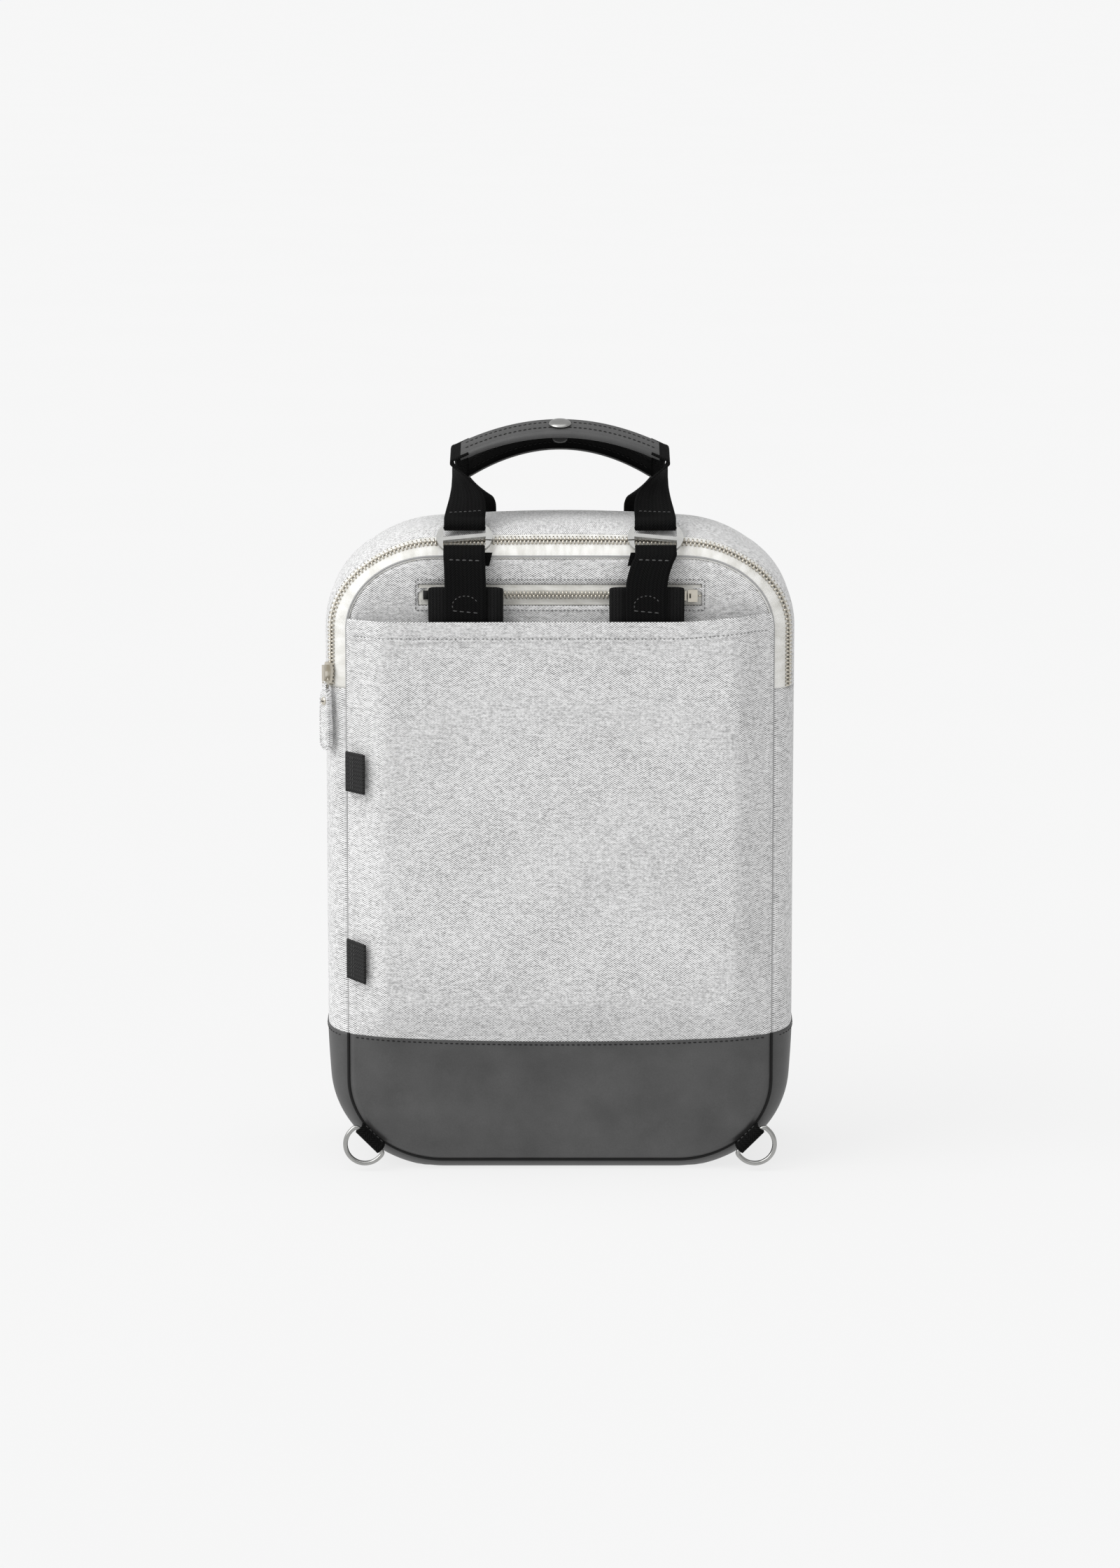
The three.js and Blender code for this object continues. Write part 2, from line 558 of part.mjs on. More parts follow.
// ---- the front handle, sewn to the front flap ----
const frontTail = [
  { at: [-54, 61.6, 392.2] },
  { at: [-54, 61.9, 396] },
  { at: [-54, 61.4, 401] },
];
const frontTwist = [
  { at: [-54, 59.5, 409], across: [1, 0, 0] },
  { at: [-54.5, 53.5, 418], across: [0.95, 0, -0.3] },
  { at: [-56, 44.5, 425.5], across: [0.8, 0, -0.6] },
  { at: [-59, 35.5, 431], across: [0.5, 0.15, -0.85] },
  { at: [-62.8, 27, 434.5], across: [0.2, 0.3, -0.93] },
  { at: [-65.5, 19.8, 436], across: [0.05, 0.55, -0.83] },
];
addHandle("front_handle", FRONT_GRIP, [...frontTail, ...frontTwist], 1, 26);
addStud("front_handle_snap_stud", FRONT_GRIP, 1, knob);
addStud("front_handle_snap_cap", FRONT_GRIP, -1, backCap);

// ---- the shoulder straps, stowed in the slip pocket ----
const PAD = { wide: 50, thick: 6, back: -66.5, top: 375, foot: 170 };
const padMiddle = PAD.back - PAD.thick / 2;
const strapFront = PAD.back - PAD.thick - GAP - WEBBING.thick / 2;
for (const [side, hookX, x] of [
  ["left", -HOOK_X, -58.8],
  ["right", HOOK_X, 54],
]) {
  const pad = shapedBox(6, 1, 1, (u, v, w) => {
    const edge = Math.abs(2 * u - 1);
    const half = (PAD.thick / 2) * Math.sqrt(1 - 0.75 * edge ** 6);
    return [x + PAD.wide * (u - 0.5), padMiddle + half * (2 * v - 1), mix(PAD.foot, PAD.top, w)];
  });
  add(`strap_pad_${side}`, pad, black);
  const webbingPath = [
    { at: [hookX, -61.9, 391.2] },
    ...loopRound(hookX, -RAIL, 1),
    { at: onHook(hookX, -12.5, 2.6) },
    { at: [hookX, -69.6, 392.6] },
    { at: [mix(hookX, x, 0.5), -72.3, 386.6] },
    { at: [x, strapFront, 376] },
    { at: [x, strapFront, 340] },
  ];
  add(`strap_webbing_${side}`, ribbon(webbingPath, 34), black);

  // Below the pad: the tail, its sliding adjuster and the end clip.
  const tailTop = PAD.foot - GAP;
  const tailFoot = 118;
  const tailHigh = tailTop - tailFoot;
  const tail = boxAt(x, padMiddle, (tailTop + tailFoot) / 2, WEBBING.wide, WEBBING.thick, tailHigh);
  add(`strap_tail_${side}`, tail, black);
  const frame = boxAt(0, 0, 0, 33, 5, 20);
  const throat = boxAt(0, 0, 0, WEBBING.wide + 2 * GAP, WEBBING.thick + 2 * GAP, 30);
  const faceSlots = [-5, 5].map((z) => boxAt(0, 0, z, WEBBING.wide + 2 * GAP, 12, 5));
  const adjuster = cut(frame, throat, ...faceSlots);
  add(`strap_adjuster_${side}`, adjuster, foam, frameAt(bag, [x, padMiddle, 148]));
  const arms = [-15, 15].map((armX) => boxAt(armX, 0, 10, 4, 3, 14));
  const clipBody = join(boxAt(0, 0, 0, 34, 3, 8), ...arms, boxAt(0, 0, -9, 6, 3, 12));
  add(`strap_clip_${side}`, cut(clipBody, boxAt(0, 0, -10, 2.6, 6, 6)), steel,
    frameAt(bag, [x, padMiddle, tailFoot - GAP - 4]));
}

// ---- the small webbing loops on the left side seam ----
const SIDE_LOOP = { long: 12, high: 25, thick: 2.6, root: -63.4, tip: -72.4 };
for (const [name, z, lean] of [
  ["side_loop_upper", 256, 1],
  ["side_loop_lower", 136, 2.5],
]) {
  const loop = shapedBox(4, 2, 1, (u, v, w) => {
    const x = -PANEL_WIDTH / 2 + SIDE_LOOP.long * u;
    const height = z + SIDE_LOOP.high * (v - 0.5) + lean * (0.5 - u);
    return [x, mix(SIDE_LOOP.root, SIDE_LOOP.tip, u) - SIDE_LOOP.thick * w, height];
  });
  add(name, loop, black);
}

// ---- the D-rings at the lower corners ----
const RING = { x: 123.4, z: 17.5, y: -67, radius: 12.35, wire: 1.5, flat: 4.7 };
const CORNER_TAB = { wide: 19, thick: 1.5, gap: 0.35 };
// A round ring whose half at X below 0 is squashed flat, drawn in the XY plane.
function dRingGeometry() {
  const ring = new THREE.TorusGeometry(RING.radius, RING.wire, 8, 36);
  const p = ring.getAttribute("position");
  const along = (turn) => {
    const [c, s] = [Math.cos(turn), Math.sin(turn)];
    if (c >= 0) return [RING.radius * c, RING.radius * s];
    return [-RING.flat * (-c) ** 0.4, RING.radius * Math.sign(s) * Math.abs(s) ** 0.4];
  };
  for (let i = 0; i < p.count; i++) {
    const turn = Math.atan2(p.getY(i), p.getX(i));
    const out = Math.hypot(p.getX(i), p.getY(i)) - RING.radius;
    const [x, y] = along(turn);
    const [x0, y0] = along(turn - 0.05);
    const [x1, y1] = along(turn + 0.05);
    const size = Math.hypot(x1 - x0, y1 - y0);
    p.setXY(i, x + (out * (y1 - y0)) / size, y - (out * (x1 - x0)) / size);
  }
  return closed(ring);
}

// The webbing folded round the ring's flat side, with the fold towards -Z and open at +Z.
function cornerTabGeometry() {
  const hole = RING.wire + CORNER_TAB.gap;
  const outer = hole + CORNER_TAB.thick;
  const legs = Math.abs(RING.y) - HALF_DEPTH - GAP;
  const profile = new THREE.Shape();
  profile.moveTo(-outer, legs);
  profile.absarc(0, 0, outer, Math.PI, 2 * Math.PI, false);
  profile.lineTo(outer, legs);
  profile.lineTo(hole, legs);
  profile.absarc(0, 0, hole, 2 * Math.PI, Math.PI, true);
  profile.lineTo(-hole, legs);
  const opts = { depth: CORNER_TAB.wide, bevelEnabled: false, curveSegments: 8 };
  return new THREE.ExtrudeGeometry(profile, opts)
    .translate(0, 0, -CORNER_TAB.wide / 2)
    .rotateX(Math.PI / 2)
    .translate(-RING.flat, 0, 0);
}

for (const [side, way] of [
  ["left", -1],
  ["right", 1],
]) {
  // Its own X points out and down past the corner, Y along the fold and Z away from the bag.
  const corner = frameAt(bag, [way * RING.x, RING.y, RING.z]);
  const out = new THREE.Vector3(way, 0, -1).normalize();
  const away = new THREE.Vector3(0, -1, 0);
  const basis = new THREE.Matrix4().makeBasis(out, away.clone().cross(out), away);
  corner.quaternion.setFromRotationMatrix(basis);
  add(`corner_ring_${side}`, dRingGeometry(), steel, corner);
  add(`corner_tab_${side}`, cornerTabGeometry(), black, corner);
}

// ---- inside: the stiff base board and the padded divider ----
add("base_board", boxAt(0, 0, SKIN + GAP + 1.5, 150, 84, 3), board);
const dividerFace = () => -40;
const divider = { low: PANEL_BOTTOM + 8, high: 300, inset: 8, thickness: 5, way: -1 };
add("laptop_divider", panel({ ...divider, face: dividerFace, columns: 2 }), foam);

export default bag;
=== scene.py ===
"""A travel backpack seen from its back: pale canvas on a charcoal leather base, two carry handles on
flat steel hooks, black straps stowed in the slip pocket, metal zips and corner D-rings.
Shapes are worked out in millimetres in the frame's axes and written in metres."""

import math
from bisect import bisect_right

import bmesh
import bpy
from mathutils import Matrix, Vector


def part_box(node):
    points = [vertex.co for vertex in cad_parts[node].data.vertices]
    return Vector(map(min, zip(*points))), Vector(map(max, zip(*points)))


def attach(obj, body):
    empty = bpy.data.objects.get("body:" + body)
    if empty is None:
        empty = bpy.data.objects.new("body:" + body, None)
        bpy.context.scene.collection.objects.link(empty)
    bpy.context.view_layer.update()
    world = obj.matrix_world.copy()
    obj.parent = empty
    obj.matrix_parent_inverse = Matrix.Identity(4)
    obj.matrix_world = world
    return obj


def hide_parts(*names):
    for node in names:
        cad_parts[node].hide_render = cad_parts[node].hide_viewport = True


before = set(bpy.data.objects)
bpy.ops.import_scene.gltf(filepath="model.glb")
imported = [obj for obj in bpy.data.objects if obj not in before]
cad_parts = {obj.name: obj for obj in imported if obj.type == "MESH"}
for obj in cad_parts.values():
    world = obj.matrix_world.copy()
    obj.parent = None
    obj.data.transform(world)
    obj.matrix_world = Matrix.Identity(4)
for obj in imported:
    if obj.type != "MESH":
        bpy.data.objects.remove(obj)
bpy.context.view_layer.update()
MM = 0.001


def cad_mm(node):
    """The lowest and highest corner of a CAD node, in millimetres."""
    low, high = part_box(node)
    return [c / MM for c in low], [c / MM for c in high]


# ---- sizes taken from the frame ----
OVER = 0.6  # the CAD's slip pocket stops this far inside the outline
RIM = 3.3  # and its back panel this far
HALF_WIDTH = cad_mm("back_base_leather")[1][0] + OVER
PANEL_TOP = cad_mm("back_panel")[1][2] + RIM
PANEL_BOTTOM = cad_mm("back_panel")[0][2] - RIM
HALF_DEPTH = cad_mm("gusset_left")[1][1]
ZIP_END = cad_mm("gusset_left")[1][2]
MOUTH = cad_mm("back_pocket_panel")[1][2]
LEATHER_SIDE = cad_mm("back_base_leather")[1][2]
POCKET_ZIP_Z = (cad_mm("pocket_zip_tape")[0][2] + cad_mm("pocket_zip_tape")[1][2]) / 2
POCKET_ZIP_HALF = cad_mm("pocket_zip_tape")[1][0]
WINDOW_HIGH = 6.7  # half the height of the window round the pocket zip

# ---- shape of the body, as in the CAD ----
TOP_CORNER = (55, 46)  # reach of a rounded corner across and up
BASE_CORNER = (60, 52)
CORNER_STEPS = 48
SIDE_BULGE = 14  # how far the gusset swells out at the sides, the top and the base
TOP_BULGE = 20
BASE_BULGE = 9
BULGE_POWER = (7, 3.9)  # how square the swelling is at the sides and at the top
LEATHER_DIP = 4
BACK_PILLOW = 3
FRONT_PILLOW = 7
POCKET_GAP = 13.5  # room in the slip pocket, and the border where it closes
POCKET_BORDER = 26
LEATHER_MID = LEATHER_SIDE - LEATHER_DIP
CORNER_START = PANEL_TOP - TOP_CORNER[1]


def mix(a, b, t):
    return a + (b - a) * t


def smooth(t):
    t = min(1, max(0, t))
    return t * t * (3 - 2 * t)


def spread(i, n):
    """0 to 1 in n steps, closer together at both ends."""
    return 0.5 - 0.5 * math.cos(math.pi * i / n)


# ---- outline
def half_width(z, inset=0.0):
    up = (z - CORNER_START) / (TOP_CORNER[1] - inset)
    down = (PANEL_BOTTOM + BASE_CORNER[1] - z) / (BASE_CORNER[1] - inset)
    width = HALF_WIDTH - inset
    for t, rx in ((up, TOP_CORNER[0]), (down, BASE_CORNER[0])):
        if t > 0:
            width -= (rx - inset) * (1 - math.sqrt(max(0, 1 - t * t)))
    return width


def edge_distance(x, z):
    """How far a point of a panel lies inside the outline."""
    x = abs(x)
    for cx, cz, (rx, rz), above in (
        (HALF_WIDTH - TOP_CORNER[0], CORNER_START, TOP_CORNER, 1),
        (HALF_WIDTH - BASE_CORNER[0], PANEL_BOTTOM + BASE_CORNER[1], BASE_CORNER, -1),
    ):
        if x > cx and (z - cz) * above > 0:
            return (1 - math.hypot((x - cx) / rx, (z - cz) / rz)) * min(rx, rz)
    return min(HALF_WIDTH - x, PANEL_TOP - z, z - PANEL_BOTTOM)


def outline_table():
    """Points (length so far, x, z, outward x, outward z) round the outline from the bottom middle."""
    spots = []
    w = HALF_WIDTH
    quarters = (
        (w - BASE_CORNER[0], PANEL_BOTTOM + BASE_CORNER[1], BASE_CORNER, -90),
        (w - TOP_CORNER[0], CORNER_START, TOP_CORNER, 0),
        (TOP_CORNER[0] - w, CORNER_START, TOP_CORNER, 90),
        (BASE_CORNER[0] - w, PANEL_BOTTOM + BASE_CORNER[1], BASE_CORNER, 180),
    )
    spots.append((0, PANEL_BOTTOM, 0, -1))
    for cx, cz, (rx, rz), start in quarters:
        for i in range(CORNER_STEPS + 1):
            a = math.radians(start + 90 * i / CORNER_STEPS)
            out = Vector((math.cos(a) / rx, math.sin(a) / rz)).normalized()
            spots.append((cx + rx * math.cos(a), cz + rz * math.sin(a), out.x, out.y))
    spots.append((0, PANEL_BOTTOM, 0, -1))
    table = [(0, *spots[0])]
    for before, spot in zip(spots, spots[1:]):
        length = table[-1][0] + math.hypot(spot[0] - before[0], spot[1] - before[1])
        table.append((length, *spot))
    return table


OUTLINE = outline_table()
PERIMETER = OUTLINE[-1][0]


def outline_at(s):
    """x, z and the outward direction at a length along the outline."""
    s %= PERIMETER
    low = min(len(OUTLINE) - 2, bisect_right(OUTLINE, s, key=lambda row: row[0]) - 1)
    a, b = OUTLINE[low], OUTLINE[low + 1]
    t = (s - a[0]) / max(1e-9, b[0] - a[0])
    return [mix(a[k], b[k], t) for k in range(1, 5)]


def station(side, z):
    """The outline's length at height z on a straight side: 1 is right, -1 left."""
    above_corner = z - PANEL_BOTTOM - BASE_CORNER[1]
    if side > 0:
        return OUTLINE[1 + CORNER_STEPS][0] + above_corner
    return OUTLINE[3 * (CORNER_STEPS + 1) + 1][0] - above_corner


def bulge(x, z, y):
    """How far the gusset swells out beyond the outline."""
    top = smooth((z - CORNER_START) / TOP_CORNER[1])
    dome = 1 - 0.5 * (x / (HALF_WIDTH - TOP_CORNER[0])) ** 2
    sides = mix(BASE_BULGE, SIDE_BULGE, smooth(z / 100))
    full = mix(sides, max(sides, mix(SIDE_BULGE, TOP_BULGE, dome)), top)
    return full * (1 - abs(y / HALF_DEPTH) ** mix(*BULGE_POWER, top))


def on_gusset(s, y, lift=0.0):
    """A point of the gusset's outer surface, lifted off it."""
    x, z, nx, nz = outline_at(s)
    out = bulge(x, z, y) + lift
    return (x + nx * out, y, max(0.02 + min(0, lift) * -1, z + nz * out))


def pillow(x, z, height):
    """The soft swelling of a panel, flat near its border."""
    up = (z - PANEL_BOTTOM) / (PANEL_TOP - PANEL_BOTTOM)
    return height * max(0, 1 - (x / HALF_WIDTH) ** 4) * max(0, 1 - abs(2 * up - 1) ** 6)


def turned_edge(x, z, reach=3.5, depth=2.4):
    """How far a panel's border rolls in towards its seam."""
    return depth * (1 - smooth(edge_distance(x, z) / reach))


def back_face(x, z):
    return -HALF_DEPTH - pillow(x, z, BACK_PILLOW)


def pocket_slack(x, z):
    """Room between the slip pocket and the back panel."""
    side = smooth((half_width(z) - abs(x)) / POCKET_BORDER)
    foot = smooth((z - LEATHER_MID + 12) / 40)
    return 0.3 + POCKET_GAP * side * foot


def pocket_face(x, z):
    return back_face(x, z) - pocket_slack(x, z) - 2


def front_face(x, z):
    return HALF_DEPTH + pillow(x, z, FRONT_PILLOW)


# ---- mesh making
def mesh_object(name, points, faces, uvs=None):
    """An object from points in millimetres. uvs gives each point's place on the cloth, in mm."""
    mesh = bpy.data.meshes.new(name)
    mesh.from_pydata([tuple(c * MM for c in p) for p in points], [], faces)
    if uvs:
        layer = mesh.uv_layers.new(name="Cloth")
        for loop in mesh.loops:
            layer.data[loop.index].uv = uvs[loop.vertex_index]
    mesh.validate()
    mesh.update()
    for polygon in mesh.polygons:
        polygon.use_smooth = True
    obj = bpy.data.objects.new(name, mesh)
    bpy.context.collection.objects.link(obj)
    return obj


def grid(name, nu, nv, place, cloth, around=False, skip=None):
    """A sheet of nu by nv cells. place(i, j) gives a point and cloth(i, j) its place on the cloth.
    around joins the last column to the first; skip(i, j) leaves a cell out."""
    columns = nu if around else nu + 1
    points = [place(i, j) for j in range(nv + 1) for i in range(columns)]
    uvs = [cloth(i, j) for j in range(nv + 1) for i in range(columns)]
    faces = []
    for j in range(nv):
        for i in range(nu):
            if skip and skip(i, j):
                continue
            k = (i + 1) % columns
            faces.append((j * columns + i, j * columns + k, (j + 1) * columns + k, (j + 1) * columns + i))
    return mesh_object(name, points, faces, uvs)


def face_outwards(obj):
    """Turns the faces of a closed piece outwards."""
    bm = bmesh.new()
    bm.from_mesh(obj.data)
    bmesh.ops.recalc_face_normals(bm, faces=bm.faces)
    bm.to_mesh(obj.data)
    bm.free()


def thicken(obj, thickness):
    """Gives a sheet its thickness, behind its face."""
    solid = obj.modifiers.new("thickness", "SOLIDIFY")
    solid.thickness = thickness * MM
    solid.offset = -1
    solid.use_quality_normals = True


def turn_towards(obj, outward):
    """Flips a sheet whose faces look away from outward(centre), a direction."""
    score = sum(p.normal.dot(outward(p.center)) * p.area for p in obj.data.polygons)
    if score < 0:
        obj.data.flip_normals()


def settle(obj, material, body, slot, nodes=()):
    """Gives a piece its material and its body, and hides the CAD nodes that it stands for; slot is not used.
    """
    obj.data.materials.clear()
    obj.data.materials.append(material)
    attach(obj, body)
    if nodes:
        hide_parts(*nodes)
    return obj


def hoop_faces(count, n, closed=False):
    """Faces between count hoops of n points: joined round, or capped at both ends."""
    faces = []
    for j in range(count if closed else count - 1):
        a, b = j * n, (j + 1) % count * n
        for k in range(n):
            k2 = (k + 1) % n
            faces.append((a + k, a + k2, b + k2, b + k))
    if not closed:
        faces.append(tuple(range(n - 1, -1, -1)))
        faces.append(tuple(range((count - 1) * n, count * n)))
    return faces


def closed_piece(name, hoops, n, uvs=None, closed=False):
    """A solid from a flat list of points, n to a hoop."""
    obj = mesh_object(name, hoops, hoop_faces(len(hoops) // n, n, closed), uvs)
    face_outwards(obj)
    return obj


def tube(name, path, radius, sides=10, closed=False):
    """A round wire along path points in mm."""
    pts = [Vector(p) for p in path]
    n = len(pts)
    points = []
    side = None
    for i, p in enumerate(pts):
        ahead = pts[(i + 1) % n] if closed or i < n - 1 else p
        behind = pts[i - 1] if closed or i else p
        along = (ahead - behind).normalized()
        if side is None:
            side = along.orthogonal().normalized()
        side = (side - along * side.dot(along)).normalized()
        up = along.cross(side)
        for k in range(sides):
            a = 2 * math.pi * k / sides
            points.append(p + side * (radius * math.cos(a)) + up * (radius * math.sin(a)))
    return closed_piece(name, points, sides, closed=closed)


def many(name, makers):
    """One object from many small closed meshes, each (points, faces) in mm."""
    points, faces = [], []
    for pts, fcs in makers:
        start = len(points)
        points += pts
        faces += [tuple(start + k for k in f) for f in fcs]
    obj = mesh_object(name, points, faces)
    face_outwards(obj)
    return obj


def block(centre, along, across, out, size, taper=0.75):
    """A small block, narrower at its outer face: size is (length along, across, height out)."""
    c, a, b, o = Vector(centre), Vector(along), Vector(across), Vector(out)
    pts = []
    for level, scale in ((0, 1), (0.6, 1), (1, taper)):
        for sa, sb in ((-1, -1), (1, -1), (1, 1), (-1, 1)):
            flat = a * (sa * size[0]) + b * (sb * size[1])
            pts.append(c + flat * (scale / 2) + o * (level * size[2]))
    return pts, hoop_faces(3, 4)


def stitch(a, b, out, radius):
    """One thread stitch from a to b that stands a little off the surface."""
    a, b, out = Vector(a), Vector(b), Vector(out).normalized()
    along = (b - a).normalized()
    side = along.cross(out)
    pts = []
    levels = ((0, 0.35, -0.35), (0.2, 1, 0.25), (0.5, 1, 0.45), (0.8, 1, 0.25), (1, 0.35, -0.35))
    sides = 6
    for t, scale, lift in levels:
        c = a.lerp(b, t) + out * (lift * radius)
        for k in range(sides):
            w = 2 * math.pi * k / sides
            pts.append(c + (side * math.cos(w) + out * math.sin(w)) * (radius * scale))
    return pts, hoop_faces(len(levels), sides)


def seam(path, out, pitch=3.2, share=0.68, radius=0.32):
    """Stitches along a path of points. out is a direction, or a function of the point."""
    pts = [Vector(p) for p in path]
    runs = [0.0]
    for p, q in zip(pts, pts[1:]):
        runs.append(runs[-1] + (q - p).length)

    def at(s):
        for k in range(len(runs) - 1):
            if s <= runs[k + 1]:
                return pts[k].lerp(pts[k + 1], (s - runs[k]) / max(1e-9, runs[k + 1] - runs[k]))
        return pts[-1]

    count = max(1, int(runs[-1] / pitch))
    step = runs[-1] / count
    result = []
    for k in range(count):
        a, b = at(step * (k + 0.5 - share / 2)), at(step * (k + 0.5 + share / 2))
        facing = out(a) if callable(out) else out
        result.append(stitch(a, b, facing, radius))
    return result


def catmull(points, steps):
    """Smooth points through the given ones, each with its place between them."""
    pts = [Vector(p) for p in points]
    last = len(pts) - 1
    result = []
    for k in range(steps + 1):
        t = last * k / steps
        i = min(last - 1, int(t))
        f = t - i
        p1, p2 = pts[i], pts[i + 1]
        p0 = pts[i - 1] if i else p1 * 2 - p2
        p3 = pts[i + 2] if i + 2 <= last else p2 * 2 - p1
        knots = [0.0]
        for a, b in ((p0, p1), (p1, p2), (p2, p3)):
            knots.append(knots[-1] + max(1e-6, (b - a).length) ** 0.5)
        t0, t1, t2, t3 = knots
        x = t1 + (t2 - t1) * f
        a1 = p0 * ((t1 - x) / (t1 - t0)) + p1 * ((x - t0) / (t1 - t0))
        a2 = p1 * ((t2 - x) / (t2 - t1)) + p2 * ((x - t1) / (t2 - t1))
        a3 = p2 * ((t3 - x) / (t3 - t2)) + p3 * ((x - t2) / (t3 - t2))
        b1 = a1 * ((t2 - x) / (t2 - t0)) + a2 * ((x - t0) / (t2 - t0))
        b2 = a2 * ((t3 - x) / (t3 - t1)) + a3 * ((x - t1) / (t3 - t1))
        result.append((b1 * ((t2 - x) / (t2 - t1)) + b2 * ((x - t1) / (t2 - t1)), i, f))
    return result


ACROSS = (1, 0, 0)
UP = (0, 0, 1)


def ribbon_line(stops, steps=120):
    """Steps along a strap, each (middle, width direction, normal, length so far). Every stop is
    (point, width direction)."""
    line = catmull([p for p, _ in stops], steps)
    result = []
    run = 0.0
    for j, (p, i, f) in enumerate(line):
        ahead = line[min(j + 1, steps)][0] - line[max(j - 1, 0)][0]
        if j:
            run += (p - line[j - 1][0]).length
        width = Vector(stops[i][1]).lerp(Vector(stops[i + 1][1]), f).normalized()
        result.append((p, width, ahead.cross(width).normalized(), run))
    return result


def ribbon(name, line, wide, thick, cells=10):
    """A strap along a ribbon line, with thin rounded edges."""
    section = [(wide * (k / cells - 0.5), thick / 2) for k in range(cells + 1)]
    section.append((wide / 2 + thick * 0.25, 0))
    section += [(wide * (0.5 - k / cells), -thick / 2) for k in range(cells + 1)]
    section.append((-wide / 2 - thick * 0.25, 0))
    points = [p + width * w + normal * h for p, width, normal, _ in line for w, h in section]
    uvs = [(w, run) for *_, run in line for w, _ in section]
    return closed_piece(name, points, len(section), uvs)


def cross_row(line, place, face, reach=10.5, pitch=3.2, radius=0.3, tilt=0.0):
    """A row of stitches across a strap at a share of its steps; face is the height off its middle."""
    p, width, normal, _ = line[round(place * (len(line) - 1))]
    ahead = width.cross(normal) * tilt
    ends = [p + width * (way * reach) + normal * face + ahead * way for way in (-1, 1)]
    return seam(ends, normal * math.copysign(1, face), pitch, 0.62, radius)


def lathe(name, profile, centre, axis, segments=48):
    """A turned piece: profile is [radius, height] pairs along axis from centre, in mm."""
    centre, axis = Vector(centre), Vector(axis).normalized()
    side = axis.orthogonal().normalized()
    up = axis.cross(side)
    points = []
    for r, h in profile:
        for k in range(segments):
            a = 2 * math.pi * k / segments
            points.append(centre + axis * h + (side * math.cos(a) + up * math.sin(a)) * max(r, 0.02))
    return closed_piece(name, points, segments)


# ---- materials
class Shader:
    """A material under construction, with short ways to add nodes."""

    def __init__(self, name, roughness, metallic=0.0, specular=0.5, sheen=0.0):
        self.material = bpy.data.materials.new(name)
        self.material.use_nodes = True
        self.tree = self.material.node_tree
        self.bsdf = self.tree.nodes["Principled BSDF"]
        self.bsdf.inputs["Roughness"].default_value = roughness
        self.bsdf.inputs["Metallic"].default_value = metallic
        self.bsdf.inputs["Specular IOR Level"].default_value = specular
        self.bsdf.inputs["Sheen Weight"].default_value = sheen

    def node(self, kind, **settings):
        made = self.tree.nodes.new(kind)
        for key, value in settings.items():
            setattr(made, key, value)
        return made

    def join(self, source, target):
        self.tree.links.new(source, target)

    def math(self, operation, a, b=0.0, c=None):
        made = self.node("ShaderNodeMath", operation=operation)
        for k, value in enumerate((a, b, c)):
            if value is None:
                continue
            if isinstance(value, (int, float)):
                made.inputs[k].default_value = value
            else:
                self.join(value, made.inputs[k])
        return made.outputs[0]

    def cloth(self):
        """Across and along the cloth, in mm."""
        uv = self.node("ShaderNodeUVMap", uv_map="Cloth")
        parts = self.node("ShaderNodeSeparateXYZ")
        self.join(uv.outputs[0], parts.inputs[0])
        return parts.outputs[0], parts.outputs[1]

    def place(self, axes):
        """Two of the object's own coordinates, in mm."""
        coords = self.node("ShaderNodeTexCoord")
        parts = self.node("ShaderNodeSeparateXYZ")
        self.join(coords.outputs["Object"], parts.inputs[0])
        return [self.math("MULTIPLY", parts.outputs["XYZ".index(axis)], 1 / MM) for axis in axes]

    def noise(self, u, v, scale_u, scale_v, detail=3.0, seed=0.0):
        """Noise over two lengths in mm, about 0 to 1; the scales are its size in mm."""
        vector = self.node("ShaderNodeCombineXYZ")
        self.join(self.math("DIVIDE", u, scale_u), vector.inputs[0])
        self.join(self.math("DIVIDE", v, scale_v), vector.inputs[1])
        vector.inputs[2].default_value = seed
        return self.texture(vector.outputs[0], 1, detail)

    def space_noise(self, size, detail=3.0):
        """Noise over the object's own space; size is in mm."""
        coords = self.node("ShaderNodeTexCoord")
        return self.texture(coords.outputs["Object"], 1 / (size * MM), detail)

    def texture(self, vector, scale, detail):
        made = self.node("ShaderNodeTexNoise")
        made.inputs["Scale"].default_value = scale
        made.inputs["Detail"].default_value = detail
        self.join(vector, made.inputs["Vector"])
        return made.outputs["Fac"]

    def colours(self, factor, stops):
        """A colour ramp: stops are (place, grey or colour) pairs in linear light."""
        ramp = self.node("ShaderNodeValToRGB")
        while len(ramp.color_ramp.elements) < len(stops):
            ramp.color_ramp.elements.new(0.5)
        for element, (place, colour) in zip(ramp.color_ramp.elements, stops):
            element.position = place
            rgb = (colour,) * 3 if isinstance(colour, (int, float)) else colour
            element.color = (*rgb, 1)
        self.join(factor, ramp.inputs[0])
        self.join(ramp.outputs[0], self.bsdf.inputs["Base Color"])

    def bump(self, height, distance, strength=1.0):
        made = self.node("ShaderNodeBump")
        made.inputs["Distance"].default_value = distance * MM
        made.inputs["Strength"].default_value = strength
        self.join(height, made.inputs["Height"])
        self.join(made.outputs[0], self.bsdf.inputs["Normal"])

    def rough(self, factor, low, high):
        spread_out = self.node("ShaderNodeMapRange")
        spread_out.inputs["To Min"].default_value = low
        spread_out.inputs["To Max"].default_value = high
        self.join(factor, spread_out.inputs["Value"])
        self.join(spread_out.outputs[0], self.bsdf.inputs["Roughness"])


def wave(shader, length, period, phase=0.0):
    """cos of a length in mm with that period."""
    turn = shader.math("MULTIPLY_ADD", length, 2 * math.pi / period, phase)
    return shader.math("COSINE", turn)


WEAVE = (1.9, 1.27)  # the canvas repeats across and up, in mm


